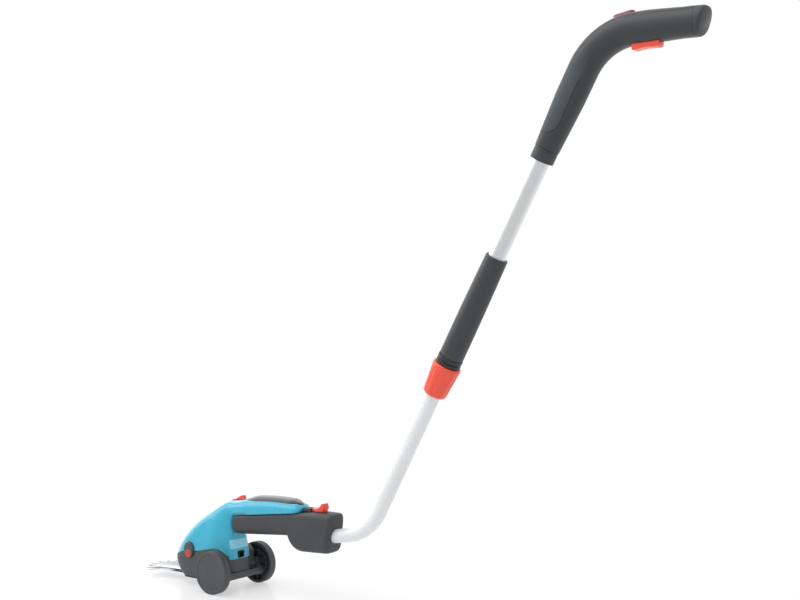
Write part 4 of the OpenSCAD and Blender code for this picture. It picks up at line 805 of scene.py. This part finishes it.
# Head: one outer form for the casing and the base, then parted along the seam
def head_solid(name, d, stations, levels):
    turn_x = REAR_BACK - REAR_SWEEP
    steps = [k / stations for k in range(stations + 1)]
    xs = [between(-NOSE_REACH + d + 0.25, turn_x, t * t * (2.2 - 1.2 * t)) for t in steps]
    xs += [turn_x + (REAR_SWEEP - d) * sin_d(a) for a in range(3, 91, 3)]
    return loft(name, [head_ring(x, d, levels) for x in xs])


def handle_solid(name, d, step, sides):
    tail = TAIL_X - TAIL_ROUND
    xs = list(np.arange(-9, tail - 1, step))
    xs += [tail + 2] if d > 0 else [tail + TAIL_ROUND * sin_d(a) for a in range(0, 91, 6)]
    rings = []
    for x in xs:
        high = pad_seat(x) - INNER_SHARE * d if d > 0 else handle_back(x)
        rings.append(arch_ring(x, handle_half_w(x, d), handle_under(x) + d, high, HANDLE_POWER, sides))
    return loft(name, rings)


def pad_solid(name, grow, extra, power):
    turn_x = PAD_REAR_X - PAD_TURN_L
    xs = [PAD_FRONT_X - grow] + list(np.arange(-11, turn_x - 0.5, 2.5))
    xs += [turn_x + (PAD_REAR_X + grow - turn_x) * sin_d(a) for a in range(0, 91, 6)]
    rings = []
    for x in xs:
        high = max(pad_back(x), pad_seat(x) + 0.8) + extra
        rings.append(arch_ring(x, max(pad_half_w(x), 1.2) + grow, pad_seat(x) - grow, high, power, 48))
    return loft(name, rings)


def spline(points, steps=10):
    """A smooth run through a few points."""
    pts = [np.array(p, float) for p in points]
    pts = [2 * pts[0] - pts[1]] + pts + [2 * pts[-1] - pts[-2]]
    out = []
    for i in range(1, len(pts) - 2):
        p0, p1, p2, p3 = pts[i - 1:i + 3]
        for k in range(steps):
            t = k / steps
            out.append(tuple(0.5 * (2 * p1 + (p2 - p0) * t + (2 * p0 - 5 * p1 + 4 * p2 - p3) * t * t
                                    + (3 * p1 - p0 - 3 * p2 + p3) * t ** 3)))
    return out + [tuple(pts[-2])]


SEAM_FRONT_X, SEAM_END_X, HUMP_TOP_X = -NOSE_REACH - 20, 60, -16
SEAM = spline([
    (SEAM_FRONT_X, NOSE_Z - 1), (-NOSE_REACH + 17, NOSE_Z + 5), (BUTTON_X - 15, BUTTON_Z - 4),
    (BUTTON_X + 18, BUTTON_Z),
    (between(BUTTON_X + 18, HUMP_TOP_X, 0.51), between(BUTTON_Z, HUMP_Z, 0.55)),
    (HUMP_TOP_X, HUMP_Z), (-7, HUMP_Z - 1), (1, HUMP_Z - 6),
    (7, SEAM_REAR_Z + 5), (12, SEAM_REAR_Z), (SEAM_END_X, SEAM_REAR_Z)])
UNDER_Z, OVER = -10, 400
BELOW_SEAM = [(SEAM_FRONT_X, UNDER_Z)] + SEAM + [(SEAM_END_X, UNDER_Z)]
ABOVE_SEAM = [(x, z + SEAM_GAP) for x, z in SEAM]
ABOVE_SEAM += [(OVER, SEAM_REAR_Z + SEAM_GAP), (OVER, OVER), (SEAM_FRONT_X, OVER)]


def long_oval(name, length, width, z0, z1, steps=16):
    r, half = width / 2, length / 2 - width / 2
    right = [(half + r * sin_d(180 * k / steps), r * cos_d(180 * k / steps)) for k in range(steps + 1)]
    ring = right + [(-x, -y) for x, y in right]
    return loft(name, [[(x, y, z) for x, y in ring] for z in (z0, z1)])


def tilted(at, angle, scale=1):
    """The frame at a point (x, z), turned about the Y axis."""
    turn = Matrix.Rotation(math.radians(angle), 4, "Y")
    return Matrix.Translation((at[0] * scale, 0, at[1] * scale)) @ turn


def carry(obj, at, angle):
    obj.data.transform(tilted(at, angle, MM))
    return obj


def at_lock(obj):
    return carry(obj, (LOCK_X, pad_back(LOCK_X) + SLIDE_GAP + 0.6), -LOCK_TILT)


def lock_slot():
    """The slot for the lock's stem over its travel."""
    half_l, half_w = 5 + SLIDE_GAP, 2.5 + SLIDE_GAP
    return at_lock(block("lock_hole", (-half_l - LOCK_TRAVEL, -half_w, -14), (half_l, half_w, 1)))


def lock_way():
    """The room that the lock's leaf needs over its travel."""
    travel = LOCK_TRAVEL + 1
    obj = long_oval("lock_way", LOCK_L + travel + 2, LOCK_W + 1, -0.4, 12)
    obj.data.transform(Matrix.Translation((-travel / 2 * MM, 0, 0)))
    return at_lock(obj)


def latch_way():
    low = (TAIL_X - 14, -LATCH_HALF_W, LATCH_Z - 0.4)
    return block("latch_way", low, (LATCH_X + 2, LATCH_HALF_W, LATCH_Z + 2))


def trigger_slot(low_z, high_z):
    """The slot that the head's own trigger moves in."""
    return block("trigger_hole", (SLOT_FRONT_X, -SLOT_HALF_W, low_z), (SLOT_REAR_X, SLOT_HALF_W, high_z))


casing = head_solid("outer", 0, stations=100, levels=56)
carve(casing, handle_solid("handle_outer", 0, step=2.5, sides=56), op="UNION")
for side in (-1, 1):
    y0, y1 = sorted((side * HUMP_IN_Y, side * FENDER_Y))
    hump = rod("hump", (HUMP_X, AXIS_Z), HUMP_Z - AXIS_Z - 1, y0, y1, 120)
    boss = rod("boss", (0, AXIS_Z), BOSS_R, y0, y1, 64)
    for piece, end_x in ((hump, HUMP_END_X), (boss, CUT_NEAR)):
        clip = block("clip", (-CUT_NEAR, -CUT_NEAR, REAR_SOLE_Z), (end_x, CUT_NEAR, CUT_FAR))
        carve(piece, clip, op="INTERSECT")
    carve(hump, boss, op="UNION")
    carve(hump, slab("limit", BELOW_SEAM, -CUT_FAR, CUT_FAR), op="INTERSECT")
    carve(casing, hump, op="UNION")
VOXEL_SIZE = 1.0
remesh = casing.modifiers.new("even", "REMESH")
remesh.mode = "VOXEL"
remesh.voxel_size = VOXEL_SIZE * MM
bake(casing)

# The body runs into its handle in one smooth sweep
BLEND_X, BLEND_L, BLEND_Z, BLEND_H = 4, 48, 96, 20
BLEND_GAIN, BLEND_FILL, BLEND_ROUNDS, EVEN_ROUNDS = 1.6, 2.4, 700, 9
blend = casing.vertex_groups.new(name="blend")
for vert in casing.data.vertices:
    x, z = vert.co.x / MM, vert.co.z / MM
    near = unit(1 - abs(x - BLEND_X) / BLEND_L) * unit((z - BLEND_Z) / BLEND_H)
    if near > 0:
        blend.add([vert.index], ease(near * BLEND_GAIN), "REPLACE")
for group, rounds in (("blend", BLEND_ROUNDS), ("", EVEN_ROUNDS)):
    relax = casing.modifiers.new("relax", "SMOOTH")
    relax.factor = 0.5
    relax.iterations = rounds
    relax.vertex_group = group
fill = casing.modifiers.new("fill", "DISPLACE")
fill.mid_level = 0
fill.strength = BLEND_FILL * MM
fill.vertex_group = "blend"
bake(casing)

carve(casing, head_solid("inner", WALL, stations=60, levels=36),
      handle_solid("handle_inner", WALL, step=6, sides=36))
button_hole = oval(BUTTON_X, BUTTON_Z, BUTTON_L + 2 * SLIDE_GAP, BUTTON_H + 2 * SLIDE_GAP)
for side in (-1, 1):
    y0, y1 = sorted((side * BUTTON_HOLE_Y, side * CUT_NEAR))
    carve(casing, slab("button_hole", button_hole, y0, y1))
carve(casing, block("socket_hole", (-2, -SOCKET_HALF_W, SOCKET_LOW_Z), (40, SOCKET_HALF_W, SOCKET_TOP_Z)))
base = copy_of(casing, "base_shell")
carve(casing, slab("above", ABOVE_SEAM, -CUT_FAR, CUT_FAR), op="INTERSECT")
carve(base, slab("below", BELOW_SEAM, -CUT_FAR, CUT_FAR), op="INTERSECT")

carve(casing, pad_solid("pad_recess", grow=0.15, extra=30, power=12), lock_slot(), lock_way(),
      trigger_slot(low_z=100, high_z=143.4), latch_way())
housing_screws = [(x, housing_y(x, z), z) for x, z in HOUSING_SCREWS]
place_halves(casing, "housing", mat_body, housing_screws, gap=0.08, sink=4)

carve(base, block("bay", (BAY_FRONT_X, -BAY_W / 2, 0), (BAY_REAR_X, BAY_W / 2, FLOOR_UNDER_Z)))
stand_in(base, mat_dark, "base_housing")

pad = carve(pad_solid("handle_pad", grow=0, extra=0, power=2.6), lock_slot())
stand_in(pad, mat_pad, "top_pad", sharp=50)


# Release buttons: a crowned oval in its frame with an orange disc
def crowned(name, side, z, length, height, y_back, y_face, crown):
    rim_y = y_face - crown
    levels = [(y_back, 1), (rim_y, 1)]
    for a in range(10, 90, 10):
        levels.append((rim_y + crown * sin_d(a), between(1, cos_d(a), BUTTON_TAPER)))
    rings = []
    for y, share in levels:
        outline = oval(BUTTON_X, z, length * share, height * share)
        rings.append([(px, side * y, pz) for px, pz in outline])
    return loft(name, rings)


BUTTON_Y = head_half_w(BUTTON_X, BUTTON_Z, 0)
FACE_Y = BUTTON_Y + BUTTON_PROUD
DISC_Z = BUTTON_Z - DISC_DROP
for side, name in SIDES:
    button_y = (BUTTON_Y - 6, FACE_Y)
    button = crowned("release_" + name, side, BUTTON_Z, BUTTON_L, BUTTON_H, *button_y, crown=1.3)
    flange = oval(BUTTON_X, BUTTON_Z, BUTTON_L + FLANGE_W, BUTTON_H + FLANGE_W)
    flange_y = sorted((side * (BUTTON_Y - 9), side * (BUTTON_Y - 5.9)))
    carve(button, slab("flange", flange, *flange_y), op="UNION")
    dish_y = sorted((side * (FACE_Y - DISH_DEPTH), side * (FACE_Y + 5)))
    carve(button, rod("dish", (BUTTON_X, DISC_Z), DISH_R, *dish_y, 64))
    stand_in(button, mat_dark, "release_button_" + name)
    node = "release_disc_" + name
    disc_y = (FACE_Y - DISH_DEPTH, FACE_Y + 0.4)
    disc = crowned(node + "_piece", side, DISC_Z, DISC_D, DISC_D, *disc_y, crown=0.6)
    stand_in(disc, mat_disc, node)


# Wheels: turned, with rounded treads, a ring on the outside and ribs inside
def wheel_place(side, turn, axis_z):
    c, s = cos_d(turn), sin_d(turn)
    return Matrix(((c, -s, 0, 0), (0, 0, side, 0), (s, c, 0, axis_z), (0, 0, 0, 1)))


FACE_IN = RIM_OUT - FACE_DEPTH
TREAD_IN_R = WHEEL_R - RIM_W
RING_IN_R, RING_OUT_R, RING_IN = WHEEL_R * 0.56, WHEEL_R * 0.64, RIM_IN + 3
WHEEL_PROFILE = rounded([
    (AXLE_BORE, HUB_Y), (HUB_R, HUB_Y), (HUB_R, FACE_IN), (RING_IN_R, FACE_IN), (RING_IN_R, RING_IN),
    (RING_OUT_R, RING_IN), (RING_OUT_R, FACE_IN), (TREAD_IN_R, FACE_IN), (TREAD_IN_R, RIM_IN),
    (WHEEL_R, RIM_IN), (WHEEL_R, RIM_OUT), (WHEEL_R - 4.4, RIM_OUT), (TREAD_IN_R, RIM_OUT - 0.9),
    (WHEEL_R * 0.62, RIM_OUT - 0.5), (WHEEL_R * 0.24, RIM_OUT - 0.45), (WHEEL_R * 0.21, RIM_OUT)], 1.1)
WHEEL_PROFILE += [(0, RIM_OUT), (0, AXLE_END), (AXLE_BORE, AXLE_END)]
for side, name in SIDES:
    node = "wheel_" + name
    wheel = lathe(node + "_turned", WHEEL_PROFILE, wheel_place(side, 0, AXIS_Z), 144)
    for k in range(RIB_COUNT):
        rib = block("rib", (8.5, -1, RIM_IN + 4), (WHEEL_R - 4.6, 1, RIM_OUT - 3.6))
        rib.data.transform(wheel_place(side, 30 + 360 / RIB_COUNT * k, AXIS_Z * MM))
        outward(rib)
        carve(wheel, rib, op="UNION")
    stand_in(wheel, mat_wheel, node, sharp=30)


# Adapter: fine skin, hollow, parted in the middle
def adapter_solid(name, d, sides):
    xs = [BAR_FRONT_X + BAR_END_H - (BAR_END_H - d) * cos_d(a) + 0.2 for a in range(0, 91, 4)]
    xs += list(np.arange(BAR_FRONT_X + 18, BOX_FRONT_X - 1, 4)) + [BOX_FRONT_X - 0.1]
    xs += [BOX_FRONT_X + BOX_CURVE_L * (1 - cos_d(a)) for a in range(0, 91, 3)]
    xs += list(np.arange(BOX_FRONT_X + BOX_CURVE_L + 4, BOX_REAR_X - 9, 8))
    xs += [BOX_REAR_X - BOX_TURN + (BOX_TURN - d) * sin_d(a) - 0.1 for a in range(0, 91, 6)]
    return loft(name, [adapter_ring(x, d, sides) for x in xs])


ENTRY_START = CORNER - ENTRY_DIR * BEND_TANGENT
TUBE_FRONT_L = (CORNER[0] - BOX_REAR_X + TUBE_IN_BOX) / cos_d(ENTRY_ANGLE) - BEND_TANGENT


def entry_rod(name, r, l0, l1):
    a, b = ENTRY_START - ENTRY_DIR * l0, ENTRY_START - ENTRY_DIR * l1
    return loft(name, [round_ring(p, ENTRY_ANGLE, r, r, 2, 64) for p in (b, a)])


adapter = adapter_solid("adapter", 0, 88)
carve(adapter, adapter_solid("adapter_hollow", BOX_WALL, 48))
saddle = entry_rod("saddle", LOWER_R + 4, 0, TUBE_FRONT_L + 4)
carve(saddle, adapter_solid("saddle_limit", BOX_WALL / 2, 48), op="INTERSECT")
guide = block("latch_guide", (TAIL_X + 1.5, -7, BOX_TOP_Z - 1.5), (LATCH_X - 1, 7, LATCH_Z + 3.2))
carve(adapter, saddle, guide, op="UNION")
hole_low = (LATCH_X + 11.6, -3.4, BOX_TOP_Z - 7)
latch_hole = block("latch_hole", hole_low, (LATCH_X + 28.4, 3.4, BOX_TOP_Z + 1.2))
carve(adapter, latch_way(), entry_rod("tube_hole", LOWER_R + 0.2, -40, TUBE_FRONT_L + 0.3),
      trigger_slot(handle_under(42) - SLOT_DEPTH, high_z=200), latch_hole)
adapter_screws = [(x, adapter_half_w(x), z) for x, z in ADAPTER_SCREWS]
place_halves(adapter, "adapter", mat_adapter, adapter_screws, gap=0.1, sink=3.4)


# Tubes
def along(s):
    return CORNER + TUBE_DIR * (CLAMP_START + s)


def on_tube(s):
    return tilted(along(s), 90 - TUBE_ANGLE)


def straight(s0, s1):
    return [(*along(s0), TUBE_ANGLE), (*along(s1), TUBE_ANGLE)]


bend_hub = ENTRY_START + BEND_R * np.array([-sin_d(ENTRY_ANGLE), cos_d(ENTRY_ANGLE)])
path = [(*(ENTRY_START - ENTRY_DIR * TUBE_FRONT_L), ENTRY_ANGLE)]
for a in np.linspace(ENTRY_ANGLE, TUBE_ANGLE, 49):
    path.append((*(bend_hub + BEND_R * np.array([sin_d(a), -cos_d(a)])), a))
path.append((*along(INSERTED_L), TUBE_ANGLE))
lower_tube = sweep("lower_tube_drawn", path, LOWER_R, LOWER_R - LOWER_WALL, 80)
stand_in(lower_tube, mat_white, "lower_tube")
path = straight(TUBE_IN_NUT, GRIP_S + TUBE_IN_GRIP)
upper_tube = sweep("upper_tube_drawn", path, UPPER_R, UPPER_BORE, 80)
stand_in(upper_tube, mat_silver, "upper_tube")


# Clamp nut: a tapered cup with shallow flutes
def nut_ring(place, r, h, depth, segments=240):
    ring = []
    for k in range(segments):
        a = 2 * math.pi * k / segments
        fluted = r - depth * (0.5 + 0.5 * math.cos(NUT_FLUTES * a)) ** 3
        ring.append(place @ Vector((fluted * math.cos(a), fluted * math.sin(a), h)))
    return ring


def fluted_nut():
    low, top = NUT_LOW_D / 2, NUT_TOP_D / 2
    neck_r = LOWER_R + 0.8
    skin = [(low - 5, 0.0), (low - 3, 0.25), (low - 1.4, 1.2), (low - 0.5, 2.6)]
    skin += [(between(low, top, t), between(4, NUT_L - 4, t)) for t in np.linspace(0, 1, 24)]
    skin += [(top + 0.05, NUT_L - 2.6), (top - 0.5, NUT_L - 1.0), (top - 1.4, NUT_L - 0.2),
             (top - 2.4, NUT_L)]
    hollow = [(NUT_BORE_R, NUT_L), (NUT_BORE_R, 8), (neck_r, 5), (neck_r, 0)]
    place = on_tube(0)
    rings = []
    for r, h in skin:
        fade = ease((h - 2) / 8) * (1 - ease((h - NUT_L + 16) / 10))
        rings.append(nut_ring(place, r, h, FLUTE_DEPTH * fade))
    rings += [nut_ring(place, r, h, 0) for r, h in hollow]
    return ring_loop("clamp_nut_fluted", rings)


stand_in(fluted_nut(), mat_orange, "clamp_nut", sharp=40)

# Ring, sleeve and collar: turned, with the tube's seat as their bore
ring_r = RING_D / 2
ring_profile = rounded([
    (SEAT_R, 0), (ring_r, 0), (ring_r, 4.5), (ring_r - RING_GROOVE, 5), (ring_r - RING_GROOVE, 6.5),
    (ring_r, 7), (ring_r, RING_L), (SEAT_R, RING_L)], 0.9)
low, top = SLEEVE_LOW_D / 2, SLEEVE_TOP_D / 2
sleeve_profile = [(SEAT_R, 0), (low - 1.2, 0), (low - 0.4, 0.3), (low, 1.1)]
for t in np.linspace(0.02, 1, 40):
    sleeve_profile.append((between(low, top, t) + SLEEVE_SWELL * sin_d(180 * t), 1 + (SLEEVE_L - 3) * t))
sleeve_profile += [(top - 0.1, SLEEVE_L - 0.9), (top - 0.4, SLEEVE_L - 0.4), (top - 1.2, SLEEVE_L),
                   (SEAT_R, SLEEVE_L)]
collar_r = COLLAR_D / 2
collar_profile = rounded([
    (SEAT_R, 0), (collar_r, 0), (collar_r, COLLAR_L - 4), (collar_r - COLLAR_GROOVE, COLLAR_L - 3.6),
    (collar_r - COLLAR_GROOVE, COLLAR_L - 3), (collar_r, COLLAR_L - 2.6), (collar_r, COLLAR_L),
    (SEAT_R, COLLAR_L)], 0.7)
for node, profile, start, mat in (
        ("clamp_ring", ring_profile, RING_S, mat_black),
        ("middle_grip", sleeve_profile, SLEEVE_S, mat_grip),
        ("grip_collar", collar_profile, COLLAR_S, mat_grip)):
    stand_in(lathe(node + "_turned", profile, on_tube(start), 128), mat, node)


# Upper grip: shell, front panel, top pad and end cap from one form
def grip_solid(name, d, count, sides):
    ts = list(np.linspace(0, GRIP_L - GRIP_EDGE_R, count))
    ts += [GRIP_L - GRIP_EDGE_R * (1 - sin_d(a)) for a in range(6, 91, 6)]
    return loft(name, [grip_ring(t, d, sides) for t in ts if d == 0 or 12 < t < GRIP_L - 1])


def hollow_grip(name, wall):
    return carve(grip_solid(name, 0, 150, 80), grip_solid("hollow", wall, 70, 48))


def on_grip(obj):
    """Carries a cutter from the tube's own frame to the foot of the grip."""
    return carry(obj, along(GRIP_S), 90 - TUBE_ANGLE)


def panel_space(name, gap):
    ends = (-80, -PANEL_CUT + gap)
    bow = oval(0, PANEL_FOOT, 2 * (PANEL_BOW_R + gap), 2 * (PANEL_BOW_R + gap))
    bow = loft("bow", [[(x, y, z) for y, z in bow] for x in ends])
    low, high = (ends[0], -CUT_NEAR, PANEL_FOOT - gap), (ends[1], CUT_NEAR, PANEL_END_S + gap)
    return carve(on_grip(block(name, low, high)), on_grip(bow), op="UNION")


def pad_space(name, gap):
    front_x = SAFETY_AT[0] + SAFETY_L / 2 + 6 - gap
    return block(name, (front_x, -40, PAD_CUT_Z - gap), (CAP_X - 5 + gap, 40, 1000))


def cap_space(name, gap):
    low, high = GRIP_LEVEL_Z - 80, GRIP_LEVEL_Z + 80
    return block(name, (CAP_X - gap, -CUT_NEAR, low), (CAP_X + 80, CUT_NEAR, high))


def safety_hole():
    obj = long_oval("safety_hole", SAFETY_L + 2 * SLIDE_GAP, SAFETY_W + 2 * SLIDE_GAP, -5.5, 34)
    return carry(obj, SAFETY_AT, -SAFETY_TILT)


def panel_edge(inset):
    """The grained panel's outline, across and along the slope, moved in by inset."""
    r = PANEL_ARC - inset
    line = [(PANEL_SIDE - inset, GRIP_SLOPE_L - 12)]
    for a in range(0, 91, 10):
        line.append((PANEL_SIDE - PANEL_ARC + r * cos_d(a), PANEL_LOW + PANEL_ARC - r * sin_d(a)))
    return line


grip = hollow_grip("grip", GRIP_WALL)
trigger_low = (TRIGGER_X - 2, -TRIGGER_HALF_W, 0)
trigger_high = (TRIGGER_X + TRIGGER_L + 1.5, TRIGGER_HALF_W, TRIGGER_TOP_Z + 5.6)
carve(grip, panel_space("panel", SEAM_GAP), pad_space("pad", SEAM_GAP), cap_space("cap", SEAM_GAP),
      block("trigger_hole", trigger_low, trigger_high), safety_hole(),
      sweep("tube_socket", straight(GRIP_S - 1, GRIP_S + TUBE_IN_GRIP), UPPER_R + 0.2, 2))
# A fine groove round the grained panel on both sides of the slope
groove_line = panel_edge(0) + panel_edge(PANEL_GROOVE)[::-1]
band = [tuple(GRIP_FOOT + x * ACROSS_DIR + z * TUBE_DIR) for x, z in groove_line]
groove = slab("panel_groove", band, -CUT_NEAR, CUT_NEAR)
carve(groove, grip_solid("groove_floor", GROOVE_DEPTH, 150, 80))
carve(grip, groove)
screw_places = [tuple(grip_at(60)), tuple(grip_at(GRIP_SLOPE_L - 4)), (CAP_X - 16, GRIP_LEVEL_Z - 4)]
grip_screws = [(x, GRIP_W / 2, z) for x, z in screw_places]
place_halves(grip, "grip", mat_upper_grip, grip_screws, gap=0.08, sink=5)
for name, node, wall, space in (
        ("front_panel", "grip_front_panel", GRIP_WALL + 2, panel_space),
        ("top_insert", "grip_top_pad", GRIP_WALL + 1, pad_space),
        ("end_cap", "grip_end_cap", GRIP_WALL, cap_space)):
    insert = carve(hollow_grip(name, wall), space("space", 0), op="INTERSECT")
    stand_in(insert, mat_soft, node)

# Controls and other visible pieces: finer copies, with the width, steps and angle of their rounded edges
for node, mat, width, segments, angle in (
        ("switch_lock", mat_orange, 0.8, 3, 32), ("adapter_latch", mat_orange, 0.9, 3, 32),
        ("handle_trigger", mat_orange, 1.6, 4, 32), ("safety_button", mat_wine, 0.7, 3, 40),
        ("head_trigger", mat_dark, 0.8, 3, 32), ("wheel_carrier", mat_dark, 0.6, 3, 40),
        ("charging_socket", mat_socket, 0.6, 3, 40), ("sole_plate", mat_black, 0.5, 2, 32),
        ("lower_blade", mat_comb, 0.35, 2, 32), ("upper_blade", mat_blade, 0.35, 2, 32)):
    dress(node, mat, width, segments, angle)

# Screws with a cross in the head, and the depth of each head under the casing's face
CROSS_LONG, CROSS_WIDE, CROSS_DEPTH = 1.7, 0.45, 1.1
for node, places, sink in (
        ("housing_screws", housing_screws, 1), ("adapter_screws", adapter_screws, 1.4),
        ("grip_screws", grip_screws, 3)):
    screws = joined_copy(node, flatten=False)
    for x, y, z in places:
        head_y = y - sink
        for w, l in ((CROSS_WIDE, CROSS_LONG), (CROSS_LONG, CROSS_WIDE)):
            carve(screws, block("slot", (x - w, head_y - CROSS_DEPTH, z - l), (x + w, head_y + 1, z + l)))
    stand_in(screws, mat_steel, node)


# Bare type plate on the rear of the body
def rear_point(y, z, lift):
    """A point on the rear of the body, y millimetres from its middle."""
    r = crown_w(z, 0)
    turn = min(REAR_ROUND, TURN_SHARE * r)
    across = 1 - (r - abs(y)) / turn
    return (lean_x(REAR_BACK - REAR_SWEEP * (1 - round_off(across)), z) + lift, y, z)


def plate_piece(cells=40):
    rings = []
    for k in range(cells + 1):
        run = between(-PLATE_W / 2, PLATE_W / 2, k / cells)
        corner = round_off((abs(run) - PLATE_W / 2 + PLATE_ROUND) / PLATE_ROUND)
        inset = PLATE_ROUND * (1 - corner)
        low, high = PLATE_LOW_Z + inset, PLATE_TOP_Z - inset
        ring = [(low, PLATE_SINK), (high, PLATE_SINK), (high, PLATE_LIFT),
                (between(low, high, 0.5), PLATE_LIFT), (low, PLATE_LIFT)]
        rings.append([rear_point(run, z, lift) for z, lift in ring])
    return loft("type_plate", rings)


place_piece(plate_piece(), mat_plate, "shears")

# Pieces inside and small pieces keep their CAD form with a finish of their own
FINISH = (
    (mat_steel, "head_trigger_pin motor motor_pinion blade_pivot sole_screws axle_left axle_right"
                " handle_trigger_pin"),
    (mat_black, "head_switch gear_plate contact_block tube_bush clamp_collet handle_switch"),
    (mat_cell, "battery_cells"), (mat_board, "circuit_board"), (mat_brass, "crank_gear"))
for mat, nodes in FINISH:
    for node in nodes.split():
        obj = frame["nodes"][node]
        if not obj.material_slots:
            obj.data.materials.append(mat)
        for holder in obj.material_slots:
            holder.link = "OBJECT"
            holder.material = mat


# Studio: a pale floor that runs out to white, soft boxes and a bright room
PURE_WHITE = (1, 1, 1, 1)
FLOOR_HALF, FLOOR_Z = 30.0, -0.0002
FLOOR_COLOR, FLOOR_ROUGH, FLOOR_GLOSS = (0.93, 0.93, 0.935, 1), 0.22, 0.35
FADE_START, FADE_END, FADE_LEAST = 0.25, 1.1, 0.5
ROOM_BRIGHT_SIDE = (-0.48, 0.64, 0.6)
ROOM_NEAR, ROOM_FAR = 0.3, 0.95


def background_rays(tree):
    """1 for the rays that see the background: straight, mirrored or through something clear."""
    seen = add_node(tree, "LightPath", output="Is Camera Ray")
    light = seen.node
    for kind in ("Is Glossy Ray", "Is Transmission Ray"):
        seen = add_node(tree, "Math", {0: seen, 1: light.outputs[kind]}, operation="MAXIMUM")
    return seen


def mix_surface(tree, share, first, second, output):
    mix = add_node(tree, "MixShader", {"Fac": share, 1: first, 2: second})
    tree.links.new(mix, tree.nodes[output].inputs["Surface"])


def floor():
    mesh = bpy.data.meshes.new("floor")
    corners = [(x * FLOOR_HALF, y * FLOOR_HALF, 0) for x, y in ((-1, -1), (1, -1), (1, 1), (-1, 1))]
    mesh.from_pydata(corners, [], [(0, 1, 2, 3)])
    obj = add_object("floor", mesh)
    obj.location = (0, 0, FLOOR_Z)
    mat = bpy.data.materials.new("pale_floor")
    mat.use_nodes = True
    tree = mat.node_tree
    bsdf = tree.nodes["Principled BSDF"]
    bsdf.inputs["Base Color"].default_value = FLOOR_COLOR
    bsdf.inputs["Roughness"].default_value = FLOOR_ROUGH
    bsdf.inputs["Specular IOR Level"].default_value = FLOOR_GLOSS
    glow = add_node(tree, "Emission", {"Color": PURE_WHITE, "Strength": 1.0})
    place = add_node(tree, "TexCoord", output="Object")
    away = add_node(tree, "VectorMath", {0: place}, "Value", operation="LENGTH")
    fade = {"Value": away, "From Min": FADE_START, "From Max": FADE_END, "To Min": FADE_LEAST}
    span = add_node(tree, "MapRange", fade)
    span.node.interpolation_type = "SMOOTHSTEP"
    share = add_node(tree, "Math", {0: span, 1: background_rays(tree)}, operation="MULTIPLY")
    mix_surface(tree, share, bsdf.outputs["BSDF"], glow, "Material Output")
    mesh.materials.append(mat)


def soft_box(name, at, aim, size, power):
    data = bpy.data.lights.new(name, "AREA")
    data.shape = "RECTANGLE"
    data.size, data.size_y = size
    data.energy = power
    obj = add_object(name, data)
    obj.location = at
    obj.rotation_euler = (Vector(aim) - Vector(at)).to_track_quat("-Z", "Y").to_euler()
    obj.visible_camera = False


def room():
    """A white room, brighter above and behind the object than on the viewer's side."""
    world = bpy.data.worlds.new("room")
    bpy.context.scene.world = world
    world.use_nodes = True
    tree = world.node_tree
    sides = {0: add_node(tree, "TexCoord", output="Generated"), 1: ROOM_BRIGHT_SIDE}
    facing = add_node(tree, "VectorMath", sides, "Value", operation="DOT_PRODUCT")
    levels = {"Value": facing, "From Min": -1.0, "From Max": 1.0, "To Min": ROOM_NEAR, "To Max": ROOM_FAR}
    span = add_node(tree, "MapRange", levels)
    back = tree.nodes["Background"]
    back.inputs["Color"].default_value = PURE_WHITE
    tree.links.new(span, back.inputs["Strength"])
    seen = add_node(tree, "Background", {"Color": PURE_WHITE, "Strength": 1.0})
    mix_surface(tree, background_rays(tree), back.outputs["Background"], seen, "World Output")


floor()
room()
soft_box("key", at=(-2.6, -1.3, 1.7), aim=(0.3, 0, 0.35), size=(1.8, 1.8), power=18)
soft_box("over", at=(-0.2, -1.2, 2.4), aim=(0.2, 0, 0.2), size=(3.0, 2.2), power=37)
soft_box("glancing_highlight", at=(-2.2, 1.1, 1.6), aim=(0, 0, 0.15), size=(1.6, 1.6), power=10)
bpy.context.scene.view_settings.view_transform = "Standard"

camera = bpy.data.cameras.new("camera")
camera.sensor_width = CAMERA_SENSOR
camera.lens = CAMERA_LENS
camera.clip_end = 100
viewer = add_object("camera", camera)
viewer.location = tuple(MM * c for c in CAMERA_AT)
viewer.rotation_euler = (math.radians(90), 0, math.radians(CAMERA_AZIMUTH))
bpy.context.scene.camera = viewer
